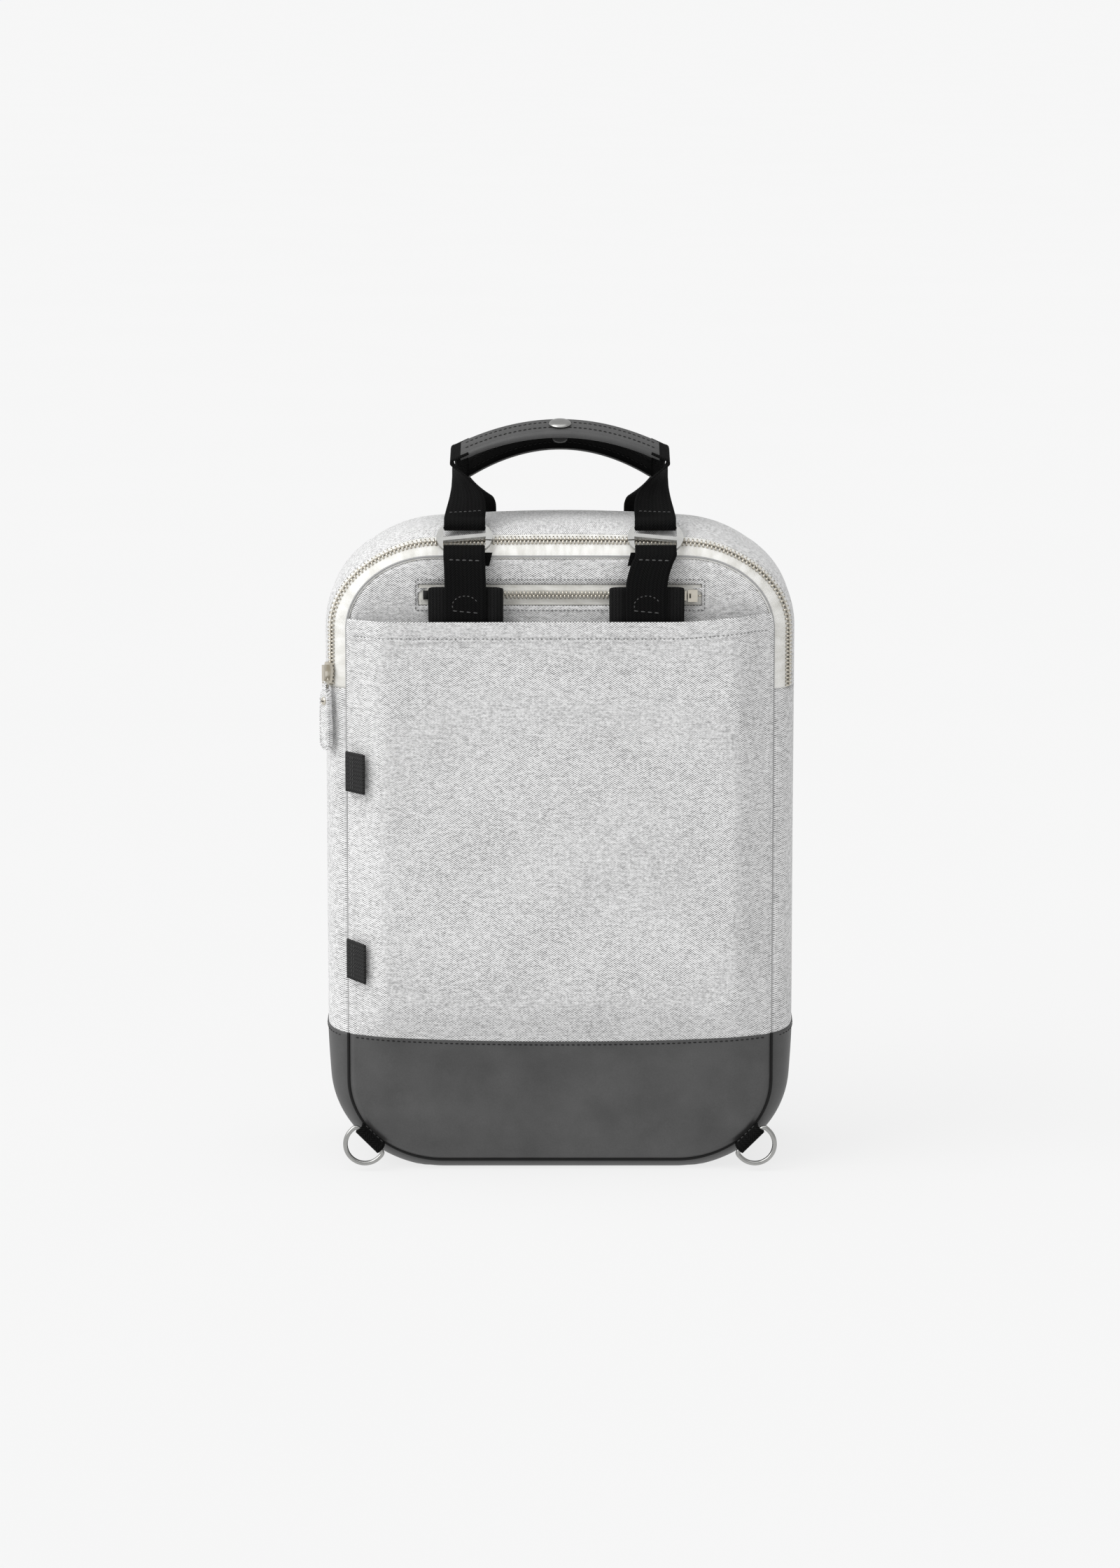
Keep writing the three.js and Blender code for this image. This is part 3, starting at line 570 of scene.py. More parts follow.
def canvas_material(name, axes=None):
    """Pale canvas with staggered dark dots, slubs and a soft drift of tone."""
    m = Shader(name, 0.92, specular=0.2, sheen=0.15)
    u, v = m.place(axes) if axes else m.cloth()
    drift_u = m.math("SUBTRACT", m.noise(u, v, 14, 14, 2), 0.5)
    uu = m.math("MULTIPLY_ADD", drift_u, 1.2, u)
    checks = m.math("MULTIPLY", wave(m, uu, WEAVE[0]), wave(m, v, WEAVE[1]))
    threads = m.math("MULTIPLY_ADD", checks, 0.5, 0.5)
    slubs = m.noise(u, v, 7, 1.3, 2, 3.1)
    melange = m.noise(u, v, 1.9, 1.4, 2, 7.7)
    cloudy = m.noise(u, v, 60, 45, 2, 5.0)
    tone = m.math("MULTIPLY", threads, 0.52)
    tone = m.math("MULTIPLY_ADD", slubs, 0.22, tone)
    tone = m.math("MULTIPLY_ADD", melange, 0.42, tone)
    tone = m.math("MULTIPLY_ADD", cloudy, 0.1, tone)
    m.colours(tone, [(0.38, 0.07), (0.52, 0.39), (0.64, 0.67), (0.82, 0.9)])
    m.bump(m.math("ADD", threads, m.math("MULTIPLY", melange, 0.6)), 0.12, 0.5)
    return m.material


def leather_material(name, dark=0.045, light=0.078, specular=0.45):
    """Smooth charcoal leather with fine pores, faint mottling and polished high spots."""
    m = Shader(name, 0.44, specular=specular)
    mottle = m.space_noise(28, 4)
    grain = m.space_noise(0.9, 2)
    pores = m.space_noise(0.35, 1)
    tone = m.math("MULTIPLY_ADD", grain, 0.25, m.math("MULTIPLY", mottle, 0.75))
    m.colours(tone, [(0.3, dark), (0.7, light)])
    m.bump(m.math("MULTIPLY_ADD", pores, 0.5, grain), 0.05, 0.35)
    m.rough(mottle, 0.42, 0.58)
    return m.material


def webbing_material(name, ribs, twill, tone=(0.001, 0.008), axes=None):
    """Black webbing: ribs across its width and a twill of herringbone strokes."""
    m = Shader(name, 0.85, specular=0.06, sheen=0.01)
    u, v = m.place(axes) if axes else m.cloth()
    fold = m.math("PINGPONG", m.math("ADD", u, 100.0), ribs)
    strokes = wave(m, m.math("MULTIPLY_ADD", fold, twill, v), 1.5)
    rib = wave(m, u, ribs / 2)
    fuzz = m.noise(u, v, 0.8, 0.8, 2, 1.7)
    tone_at = m.math("MULTIPLY_ADD", strokes, 0.22, 0.4)
    tone_at = m.math("MULTIPLY_ADD", rib, 0.1, tone_at)
    tone_at = m.math("MULTIPLY_ADD", fuzz, 0.3, tone_at)
    m.colours(tone_at, [(0.25, tone[0]), (0.9, tone[1])])
    m.bump(m.math("MULTIPLY_ADD", strokes, 0.5, fuzz), 0.3, 0.8)
    return m.material


def tape_material(name, dark, light):
    """Off-white zip tape with a fine knit along it."""
    m = Shader(name, 0.88, specular=0.2, sheen=0.1)
    u, v = m.cloth()
    knit = m.math("MULTIPLY", wave(m, u, 1.1), wave(m, v, 0.9))
    wear = m.noise(u, v, 9, 5, 3, 2.2)
    tone = m.math("MULTIPLY_ADD", knit, 0.1, wear)
    m.colours(tone, [(0.3, dark), (0.65, light)])
    m.bump(knit, 0.12, 0.5)
    return m.material


def metal_material(name, colour, low, high, brush=0.6):
    """Metal with fine brushing and small scuffs."""
    m = Shader(name, 0.3, metallic=1.0)
    smudge = m.space_noise(6, 3)
    fine = m.space_noise(brush, 2)
    m.colours(smudge, [(0.3, tuple(c * 0.86 for c in colour)), (0.7, colour)])
    m.rough(fine, low, high)
    m.bump(fine, 0.02, 0.25)
    return m.material


def thread_material(name, tone):
    m = Shader(name, 0.8, specular=0.3)
    m.colours(m.space_noise(0.5, 1), [(0.3, tone * 0.7), (0.7, tone)])
    return m.material


def plain_material(name, dark, light, size, roughness):
    """A surface with one kind of grain, for the pieces inside."""
    m = Shader(name, roughness, specular=0.3)
    grain = m.space_noise(size, 3)
    m.colours(grain, [(0.35, dark), (0.65, light)])
    m.bump(grain, 0.1, 0.4)
    return m.material


CANVAS = canvas_material("canvas")
CANVAS_TAB = canvas_material("canvas_tab", "YZ")
LEATHER = leather_material("leather")
GRIP_LEATHER = leather_material("grip_leather", 0.04, 0.075)
# A near-black copy of the grip leather: painted shade for the middle of the grips' undersides.
GRIP_UNDERSIDE_SHADE = leather_material("grip_underside_painted_shade", 0.001, 0.003, 0.04)
STRAP_WEBBING = webbing_material("strap_webbing", 5.0, 0.9)
HERRINGBONE = webbing_material("herringbone", 4.2, 1.5, (0.002, 0.02), "XZ")
SIDE_WEBBING = webbing_material("side_webbing", 5.0, 0.9, (0.016, 0.05))
TAPE = tape_material("zip_tape", (0.66, 0.65, 0.61), (0.84, 0.835, 0.81))
POCKET_TAPE = tape_material("pocket_zip_tape", (0.56, 0.55, 0.51), (0.72, 0.715, 0.68))
STEEL = metal_material("steel", (0.4, 0.4, 0.39), 0.2, 0.34)
DARK_METAL = metal_material("dark_metal", (0.05, 0.05, 0.05), 0.16, 0.28)
ZIP_METAL = metal_material("zip_metal", (0.66, 0.62, 0.54), 0.28, 0.42)
PALE_THREAD = thread_material("pale_thread", 0.62)
BLACK_THREAD = thread_material("black_thread", 0.012)
GREY_THREAD = thread_material("grey_thread", 0.3)
SEAM_PALE = thread_material("seam_pale", 0.42)
WEBBING_THREAD = thread_material("webbing_thread", 0.09)
# Near-black: painted shade, for the base seam's groove and the rivets' slots.
SHADE_BLACK = thread_material("painted_shade_black", 0.006)
FOAM = plain_material("foam", 0.03, 0.05, 1.2, 0.95)
BOARD = plain_material("board", 0.2, 0.3, 3, 0.85)

# ---- the panels
CLOTH_SKIN = 2.2
MIDDLE = 200  # a height where the sides are straight
LAP = 0.25  # a panel stops this far inside the outline
BACKWARDS = Vector((0, -1, 0))


def ripple(x, z, strength=1.0):
    """A gentle unevenness of stuffed cloth, in mm."""
    settled = smooth((z - LEATHER_MID - 6) / 40)
    slow = math.sin(x / 31 + z / 57) + math.sin(z / 43 - x / 71 + 1.3) + math.sin((x + z) / 97 + 0.6)
    return 0.3 * strength * slow * settled


def panel(name, low, high, face, way, cells, low_edge=None, high_edge=None):
    """A panel between two heights. face(x, z) is its outer surface; way is -1 at the back. The
    border along the outline rolls in to the seam."""
    nu, nv = cells

    def spot(i, j):
        z = mix(low, high, spread(j, nv))
        across = 2 * spread(i, nu) - 1
        if low_edge:
            z += low_edge(across) * (1 - smooth((z - low) / 30))
        if high_edge:
            z += high_edge(across) * (1 - smooth((high - z) / 30))
        return half_width(min(z, PANEL_TOP - LAP - 0.01), LAP) * across, z

    def place(i, j):
        x, z = spot(i, j)
        return x, face(x, z) - way * turned_edge(x, z), z

    obj = grid(name, nu, nv, place, spot)
    turn_towards(obj, lambda centre: BACKWARDS * -way)
    thicken(obj, CLOTH_SKIN)
    return obj


def leather_curve(across):
    """The leather's upper edge climbs towards both sides."""
    return LEATHER_DIP * abs(across) ** 2.2


def make_back_panel():
    """The back panel with its zip window cut out."""
    half = POCKET_ZIP_HALF + 0.2
    nu, nv = 64, 90
    columns = [2 * spread(i, nu) - 1 for i in range(nu + 1)]
    rows = [mix(PANEL_BOTTOM + 0.3, PANEL_TOP - 0.3, spread(j, nv)) for j in range(nv + 1)]
    window_rows = []
    for z in (POCKET_ZIP_Z - WINDOW_HIGH, POCKET_ZIP_Z + WINDOW_HIGH):
        nearest = min(range(nv + 1), key=lambda k: abs(rows[k] - z))
        rows[nearest] = z
        window_rows.append(nearest)
    low_row, high_row = window_rows

    def spot(i, j):
        z = rows[j]
        width = half_width(z, LAP)
        x = width * columns[i]
        if low_row <= j <= high_row:
            inner = [k for k in range(nu + 1) if abs(width * columns[k]) < half]
            if i in (inner[0], inner[-1]):
                x = math.copysign(half, x)
        return x, z

    def skip(i, j):
        if not low_row <= j < high_row:
            return False
        middle = (spot(i, j)[0] + spot(i + 1, j)[0]) / 2
        return abs(middle) < half

    def place(i, j):
        x, z = spot(i, j)
        return x, back_face(x, z) + turned_edge(x, z) - ripple(x, z, 0.4), z

    obj = grid("back_panel_cloth", nu, nv, place, spot, skip=skip)
    turn_towards(obj, lambda centre: BACKWARDS)
    thicken(obj, CLOTH_SKIN)
    settle(obj, CANVAS, "shell", "canvas", ["back_panel"])


def mouth_rise(x):
    """The slip pocket's mouth climbs a little towards the right seam."""
    return 3.6 * smooth((x - 70) / 60)


HEM = 13.0
HEM_STITCHES = HEM - 2.6


def hem_relief(z, top):
    """The hem is folded double, so it stands off down to its stitching."""
    below = top - z
    step = 0.7 * (1 - smooth((below - HEM + 1.2) / 1.2))
    groove = 0.5 * math.exp(-(((below - HEM_STITCHES) / 0.9) ** 2))
    return step - groove


def pocket_surface(x, z):
    """The slip pocket's face, with its sag, its ripples and its hem."""
    top = MOUTH + mouth_rise(x)
    sag = 1.2 * math.exp(-(((top - z) / 40) ** 2)) * math.cos(x / 60)
    return pocket_face(x, z) + sag + ripple(x, z, 0.9) - hem_relief(z, top)


def make_slip_pocket():
    nu, nv = 96, 150
    low = LEATHER_MID + 0.3

    def spot(i, j):
        across = 2 * spread(i, nu) - 1
        x = half_width(MIDDLE, LAP) * across
        foot = low + leather_curve(across) - 4
        top = MOUTH + mouth_rise(x)
        z = mix(foot, top, math.sin(math.pi / 2 * j / nv))
        return half_width(z, LAP) * across, z

    def place(i, j):
        x, z = spot(i, j)
        return x, pocket_surface(x, z) + turned_edge(x, z, 3.5, 2), z

    obj = grid("slip_pocket_cloth", nu, nv, place, spot)
    turn_towards(obj, lambda centre: BACKWARDS)
    thicken(obj, 1.6)
    settle(obj, CANVAS, "shell", "canvas", ["back_pocket_panel"])


def leather_face(x, z):
    return pocket_face(x, z) - 0.5


def make_back_leather():
    obj = panel("back_base_cloth", PANEL_BOTTOM + 0.3, LEATHER_MID, leather_face, -1, (96, 60),
                high_edge=leather_curve)
    settle(obj, LEATHER, "shell", "leather", ["back_base_leather"])


def make_front():
    def leather_front(x, z):
        return front_face(x, z) + 0.4

    def canvas_front(x, z):
        return front_face(x, z) + ripple(x, z)

    leather = panel("front_base_cloth", PANEL_BOTTOM + 0.3, LEATHER_MID, leather_front, 1, (64, 44),
                    high_edge=leather_curve)
    settle(leather, LEATHER, "shell", "leather", ["front_base_leather"])
    lower = panel("front_panel_cloth", LEATHER_MID - 3, ZIP_END - 0.4, canvas_front, 1, (64, 80),
                  low_edge=leather_curve)
    settle(lower, CANVAS, "shell", "canvas", ["front_panel"])
    flap = panel("front_flap_cloth", ZIP_END + 0.2, PANEL_TOP - 0.3, canvas_front, 1, (64, 50))
    settle(flap, CANVAS, "flap", "canvas", ["front_flap"])


# ---- the gusset
ZIP_Y = 51.8  # depth of a long zip's middle, and of its inner tape's edge
ZIP_INNER = 47.5
LEATHER_RISE = 5.0  # the leather's upper edge climbs this much in the middle of the gusset
RIGHT_ZIP, LEFT_ZIP = station(1, ZIP_END), station(-1, ZIP_END)
RIGHT_BASE, LEFT_BASE = station(1, LEATHER_SIDE), station(-1, LEATHER_SIDE)


def rim_roll(y):
    """The gusset's border rolls in to its seam."""
    return 1.6 * (1 - smooth((HALF_DEPTH - abs(y)) / 2.2))


def strip(name, s0, s1, y0, y1, cells, lift=0.0, roll=True, drop=None, thickness=2.0):
    """A band of the gusset between two stations and two depths."""
    nu, nv = cells

    def spot(i, j):
        y = mix(y0, y1, spread(j, nv))
        s = mix(s0, s1, i / nu)
        if drop:
            s += drop(i / nu, y)
        return s, y

    def place(i, j):
        s, y = spot(i, j)
        x, z, _, _ = outline_at(s)
        soft = ripple(x + 0.7 * y, z, 0.5) * (1 - (y / HALF_DEPTH) ** 2)
        return on_gusset(s, y, lift + soft - (rim_roll(y) if roll else 0))

    obj = grid(name, nu, nv, place, lambda i, j: tuple(reversed(spot(i, j))))
    turn_towards(obj, lambda centre: Vector((centre.x, 0, centre.z - 0.2)))
    thicken(obj, thickness)
    return obj


def make_gusset():
    wide = (-HALF_DEPTH + 0.25, HALF_DEPTH - 0.25)
    under = 9  # the canvas runs on this far beneath the leather
    inner = ZIP_INNER - 1.0
    right = strip("gusset_right_cloth", RIGHT_BASE - under, RIGHT_ZIP, *wide, (70, 40))
    left = strip("gusset_left_cloth", LEFT_ZIP, LEFT_BASE + under, *wide, (70, 40))
    top = strip("gusset_top_cloth", RIGHT_ZIP, LEFT_ZIP, -inner, inner, (170, 30), roll=False)
    settle(right, CANVAS, "shell", "canvas", ["gusset_right"])
    settle(left, CANVAS, "shell", "canvas", ["gusset_left"])
    settle(top, CANVAS, "shell", "canvas", ["gusset_top"])

    def leather_ends(t, y):
        reach = LEATHER_RISE * (1 - (y / HALF_DEPTH) ** 2)
        return -reach * (1 - smooth(t * 8)) + reach * smooth((t - 0.875) * 8)

    base = strip("base_gusset_cloth", LEFT_BASE, RIGHT_BASE + PERIMETER, *wide, (180, 44), lift=0.45,
                 drop=leather_ends)
    settle(base, LEATHER, "shell", "leather", ["base_gusset_leather"])


def frange(a, b, n):
    return [mix(a, b, k / n) for k in range(n + 1)]


def make_seam_cord():
    """A near-black cord round the back leather, painted shade in the seam's groove, and finer ones round both
    faces. The front one is in two pieces, since its upper part opens with the flap."""
    y = -HALF_DEPTH - 0.2
    low = [outline_at(s) for s in frange(LEFT_BASE, RIGHT_BASE + PERIMETER, 150)]
    path = [(x - nx * 0.1, y, z - nz * 0.1) for x, z, nx, nz in low]
    # This near-black cord is painted shade in the seam's groove.
    settle(tube("base_seam_shade_cord", path, 1.15, 8), SHADE_BLACK, "shell", "webbing")
    around = frange(0, PERIMETER, 400)[:-1]
    below = frange(LEFT_ZIP, RIGHT_ZIP + PERIMETER, 300)
    above = frange(RIGHT_ZIP, LEFT_ZIP, 160)
    for name, depth, stations, body in (("back_seam_cord", -HALF_DEPTH + 0.6, around, "shell"),
                                        ("front_seam_cord", HALF_DEPTH - 0.6, below, "shell"),
                                        ("flap_seam_cord", HALF_DEPTH - 0.6, above, "flap")):
        spots = [outline_at(s) for s in stations]
        line = [(x - nx * 0.2, depth, z - nz * 0.2) for x, z, nx, nz in spots]
        settle(tube(name, line, 0.7, 6, closed=stations is around), SEAM_PALE, body, "canvas")


# ---- the long zips
TOOTH_PITCH = 2.4
TOOTH_SIZE = (1.05, 3.0, 1.7)  # along the zip, across it and out of it
POCKET_TOOTH = (1.0, 2.6, 1.7)


def arch_direction(s, y):
    """Along the zip, across it and out of it, at a station and depth."""
    here = Vector(on_gusset(s, y))
    along = (Vector(on_gusset(s + 0.5, y)) - here).normalized()
    across = (Vector(on_gusset(s, y + 0.5)) - here).normalized()
    return here, along, across, across.cross(along).normalized()


def teeth_row(name, way, side, s0, s1, offset, body, nodes):
    """One row of metal teeth: side is 1 for the row nearer the seam."""
    blocks = []
    count = int((s1 - s0) / TOOTH_PITCH)
    for k in range(count):
        s = s0 + (k + 0.5 + offset) * TOOTH_PITCH
        y = way * (ZIP_Y + side * 1.0)
        here, along, across, out = arch_direction(s, y)
        if out.dot(here - Vector((0, 0, MIDDLE))) < 0:
            out = -out
        blocks.append(block(here + out * 0.1, along, across, out, TOOTH_SIZE))
    settle(many(name, blocks), ZIP_METAL, body, "zip_metal", nodes)


def make_long_zip(name, way, outer_body, outer_teeth, inner_teeth):
    """One zip over the top: way is -1 at the back. Its outer half rides outer_body."""
    for half, ends, lift, roll, body in (
        ("outer", (HALF_DEPTH - 0.2, ZIP_Y + 0.25), 0.1, True, outer_body),
        ("inner", (ZIP_Y - 0.25, ZIP_INNER - 1.2), -0.25, False, "shell"),
    ):
        y0, y1 = sorted(way * y for y in ends)
        tape = strip(f"{name}_tape_{half}_cloth", RIGHT_ZIP, LEFT_ZIP, y0, y1, (200, 6), lift, roll,
                     thickness=0.9)
        settle(tape, TAPE, body, "zip_tape", [f"{name}_tape_{half}"])
    teeth_row(f"{name}_teeth_a", way, 1, RIGHT_ZIP, LEFT_ZIP, 0, outer_body, outer_teeth)
    teeth_row(f"{name}_teeth_b", way, -1, RIGHT_ZIP, LEFT_ZIP, 0.5, "shell", inner_teeth)


def polish(node, material, bevel=0.25, smooth_it=False):
    """A CAD piece that keeps its shape: softened edges and its own finish."""
    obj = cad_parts[node]
    obj.data.materials.clear()
    obj.data.materials.append(material)
    if smooth_it:
        rounder = obj.modifiers.new("rounder", "SUBSURF")
        rounder.levels = rounder.render_levels = 2
    else:
        edge = obj.modifiers.new("edges", "BEVEL")
        edge.width = bevel * MM
        edge.segments = 3
        edge.limit_method = "ANGLE"
        edge.angle_limit = math.radians(35)
        edge.harden_normals = False
    for polygon in obj.data.polygons:
        polygon.use_smooth = smooth_it


# ---- the zipped pocket
TEETH_END = cad_mm("pocket_zip_teeth")[1][0]
BORDER = (90, 9.6)  # the stitched border round the pocket zip, from its middle


def make_pocket_zip():
    def tape_spot(i, j):
        x = mix(-POCKET_ZIP_HALF, POCKET_ZIP_HALF, i / 90)
        return x, POCKET_ZIP_Z + mix(-WINDOW_HIGH + 0.3, WINDOW_HIGH - 0.3, j / 16)

    def tape_place(i, j):
        x, z = tape_spot(i, j)
        rib = 0.35 * math.exp(-((abs(z - POCKET_ZIP_Z) - 2.9) ** 2))
        return x, back_face(x, z) + 0.75 - rib, z

    tape = grid("pocket_zip_tape_cloth", 90, 16, tape_place, tape_spot)
    turn_towards(tape, lambda centre: BACKWARDS)
    thicken(tape, 0.8)
    settle(tape, POCKET_TAPE, "shell", "zip_tape", ["pocket_zip_tape"])
    blocks = []
    count = int(2 * TEETH_END / TOOTH_PITCH * 2)
    for k in range(count):
        x = -TEETH_END + (k + 0.5) * TOOTH_PITCH / 2
        z = POCKET_ZIP_Z + (1.0 if k % 2 else -1.0)
        blocks.append(block((x, back_face(x, z) + 0.3, z), ACROSS, UP, BACKWARDS, POCKET_TOOTH))
    settle(many("pocket_zip_tooth_rows", blocks), ZIP_METAL, "shell", "zip_metal", ["pocket_zip_teeth"])
    blocks = []
    wide, high = BORDER
    for sx, sz, ex, ez in ((-1, 1, 1, 1), (1, 1, 1, -1), (1, -1, -1, -1), (-1, -1, -1, 1)):
        ends = [(wide * mix(sx, ex, t), POCKET_ZIP_Z + high * mix(sz, ez, t)) for t in frange(0, 1, 12)]
        path = [(x, back_face(x, z) - 0.1, z) for x, z in ends]
        blocks += seam(path, BACKWARDS, 2.6, 0.7, 0.3)
    settle(many("pocket_zip_border_stitches", blocks), GREY_THREAD, "shell", "canvas")
    stop_x = 0.5 - TEETH_END
    stop_spot = (stop_x, back_face(stop_x, POCKET_ZIP_Z) + 0.2, POCKET_ZIP_Z)
    stop = block(stop_spot, ACROSS, UP, BACKWARDS, (3.4, 5.4, 2.4), 0.6)
    settle(many("pocket_zip_end_stop", [stop]), BLACK_THREAD, "shell", "webbing")
    low, high = cad_mm("pocket_zip_slider")
    pin = [(high[0] + reach, low[1] + 1.2, POCKET_ZIP_Z) for reach in (0.4, 2.6)]
    settle(tube("pocket_zip_pin", pin, 0.5, 10), ZIP_METAL, "pocket_zip_slider_body", "zip_metal")
    polish("pocket_zip_slider", ZIP_METAL, 0.4)
    polish("pocket_zip_pull", ZIP_METAL, 0.35)


# ---- hooks, straps and handles
def centre_of(node):
    return [(a + b) / 2 for a, b in zip(*cad_mm(node))]


HOOK_X, HOOK_Y, HOOK_Z = centre_of("strap_hook_right")
HOOK_LEAN = math.radians(40)
RAIL = 10.7  # from a hook's middle to the middle of a rail
LOOP = 2.7  # radius of a webbing loop round a rail
WEBBING = (25, 1.5)
STITCH_FACE = 0.8


def on_hook(x, up, out):
    """A point at a height along a leaning hook and a distance out of it."""
    c, s = math.cos(HOOK_LEAN), math.sin(HOOK_LEAN)
    return (x, HOOK_Y + up * c - out * s, HOOK_Z + up * s + out * c)


def loop_round(x, up, way):
    """The path of webbing round a hook's rail."""
    turns = [math.radians(t) for t in (-90, -50, 0, 50, 90)]
    return [on_hook(x, up + way * LOOP * math.cos(a), LOOP * math.sin(a)) for a in turns]


(PAD_LEFT, PAD_FRONT, PAD_LOW), (PAD_RIGHT, PAD_BACK, PAD_HIGH) = cad_mm("strap_pad_left")
PAD_WIDE = PAD_RIGHT - PAD_LEFT
PAD_MIDDLE = (PAD_BACK + PAD_FRONT) / 2


PAD_VOXEL = 2.2
SWELL_FRAMES = 14


def swell(obj, pressure, cap):
    """Blows a padded piece up with a short cloth simulation and keeps the result."""
    scene = bpy.context.scene
    remesh = obj.modifiers.new("even", "REMESH")
    remesh.mode = "VOXEL"
    remesh.voxel_size = PAD_VOXEL * MM
    bpy.context.view_layer.objects.active = obj
    bpy.ops.object.modifier_apply(modifier="even")
    before = [v.co.copy() for v in obj.data.vertices]
    cloth = obj.modifiers.new("swell", "CLOTH")
    cloth.settings.use_pressure = True
    cloth.settings.uniform_pressure_force = pressure
    cloth.settings.effector_weights.gravity = 0
    cloth.settings.quality = 5
    for step in range(1, SWELL_FRAMES + 1):
        scene.frame_set(step)
    shape = obj.evaluated_get(bpy.context.evaluated_depsgraph_get()).to_mesh()
    after = [v.co.copy() for v in shape.vertices]
    obj.modifiers.remove(cloth)
    scene.frame_set(1)
    for vertex, a, b in zip(obj.data.vertices, before, after):
        move = b - a
        if move.length > cap * MM:
            move *= cap * MM / move.length
        vertex.co = a + move


FOLD = (11.5, 1.7, 1.3)  # width and height of the rolled fold, and the depth of the crease beside it


def roll_edge(pad, x, half, fold_way):
    """Raises the rolled fold along one edge of a pad's face, with a crease beside it."""
    wide, high, crease = FOLD
    for vertex in pad.data.vertices:
        across = (vertex.co.x / MM - x) * fold_way
        outward = smooth((PAD_MIDDLE + 0.8 - vertex.co.y / MM) / 1.6)
        t = (across - (half - wide)) / wide
        rise = high * math.sin(math.pi * min(1, max(0, t))) ** 0.6
        rise -= crease * math.exp(-((t * wide / 1.2) ** 2))
        vertex.co.y -= rise * outward * MM


def make_pad(side, x, fold_way):
    """The wide strap: a soft pad whose one long edge is rolled over to the front."""
    half = PAD_WIDE / 2 - 0.8

    def section(t):
        """A point round the flat section, as (across, outward) in mm."""
        a = 2 * math.pi * t
        across = math.copysign(abs(math.cos(a)) ** 0.35, math.cos(a)) * half
        deep = math.copysign(abs(math.sin(a)) ** 0.55, math.sin(a)) * 2.1
        return across, deep

    rows, sides = 84, 56

    def place(i, j):
        across, deep = section(i / sides)
        return x + across, PAD_MIDDLE + 0.2 - deep, mix(PAD_LOW + 1, PAD_HIGH - 1.4, j / rows)

    pad = grid(f"strap_pad_{side}_cloth", sides, rows, place, lambda i, j: (i, j), around=True)
    bm = bmesh.new()
    bm.from_mesh(pad.data)
    bmesh.ops.holes_fill(bm, edges=[e for e in bm.edges if e.is_boundary], sides=0)
    bmesh.ops.recalc_face_normals(bm, faces=bm.faces)
    bm.to_mesh(pad.data)
    bm.free()
    swell(pad, 1.5, 0.8)
    roll_edge(pad, x, half, fold_way)
    pad.data.polygons.foreach_set("use_smooth", [True] * len(pad.data.polygons))
    rounder = pad.modifiers.new("rounder", "SUBSURF")
    rounder.levels = rounder.render_levels = 1
    settle(pad, HERRINGBONE, "shell", "webbing", [f"strap_pad_{side}"])


def make_strap(side, hook_x, x, fold_way):
    make_pad(side, x, fold_way)
    front = PAD_FRONT - 0.3 - WEBBING[1] / 2
    spots = [(hook_x, -61.9, 391.2), *loop_round(hook_x, -RAIL, 1), on_hook(hook_x, -12.5, 2.6)]
    spots += [(hook_x, -69.6, 392.6), (mix(hook_x, x, 0.5), -72.3, 386.6), (x, front, 376), (x, front, 340)]
    line = ribbon_line([(p, ACROSS) for p in spots], 150)
    strap = ribbon(f"strap_webbing_{side}_cloth", line, *WEBBING)
    settle(strap, STRAP_WEBBING, "shell", "webbing", [f"strap_webbing_{side}"])

    def place_of(z):
        """The share of the strap's steps at a height on its front leg."""
        spots = [k for k, (p, *_) in enumerate(line) if p.y < -70 and p.z >= z]
        return spots[-1] / (len(line) - 1)

    stitches = cross_row(line, place_of(389.5), STITCH_FACE, 10, 3.9, 0.42, 0.3)
    stitches += cross_row(line, place_of(357.5), STITCH_FACE, 8.5, 3.6, 0.36, 0.8)
    oval = []
    for t in frange(20, 200, 18):
        a = math.radians(t)
        oval.append((x + 8 * math.cos(a), front - STITCH_FACE, 362 + 6 * math.sin(a)))
    stitches += seam(oval, BACKWARDS, 2.6, 0.6, 0.32)
    settle(many(f"strap_{side}_stitches", stitches), WEBBING_THREAD, "shell", "webbing")
    anchor = []
    for t in (0, 4, 7.5):
        inner = hook_x - math.copysign(9, hook_x) - math.copysign(t, hook_x)
        anchor.append(((inner, -62.2 - 0.05 * t, 389.5), (0.25, 0, 1)))
    patch = ribbon(f"strap_anchor_{side}", ribbon_line(anchor, 12), 8, 1.4)
    settle(patch, STRAP_WEBBING, "shell", "webbing")
    tail = [((x, PAD_MIDDLE, z), ACROSS) for z in (PAD_LOW - 0.3, 143, 118)]
    piece = ribbon(f"strap_tail_{side}_cloth", ribbon_line(tail, 20), *WEBBING)
    settle(piece, STRAP_WEBBING, "shell", "webbing", [f"strap_tail_{side}"])
    polish(f"strap_adjuster_{side}", FOAM, 0.6)
    polish(f"strap_clip_{side}", STEEL, 0.5)


# Each grip: half length, depth, height of its middle, how far its ends drop, tilt in degrees, body.
GRIPS = {
    "back_handle": {"half": 62.5, "y": -8, "top": 466.5, "drop": 14.5, "tilt": 16, "body": "back_handle"},
    "front_handle": {"half": 58, "y": 15.5, "top": 459, "drop": 18, "tilt": -43, "body": "front_handle"},
}
GRIP = (25, 5)  # width and thickness
GRIP_STITCH_ROWS = (-0.34, 0.34)
# How far the painted shade beneath a grip reaches each way from its middle, as a share of the grip's width.
UNDERSIDE_SHADE_SHARE = 0.36


def grip_frame(grip):
    """Directions across a grip and out of its top face."""
    tilt = math.radians(grip["tilt"])
    return Vector((0, math.cos(tilt), math.sin(tilt))), Vector((0, -math.sin(tilt), math.cos(tilt)))


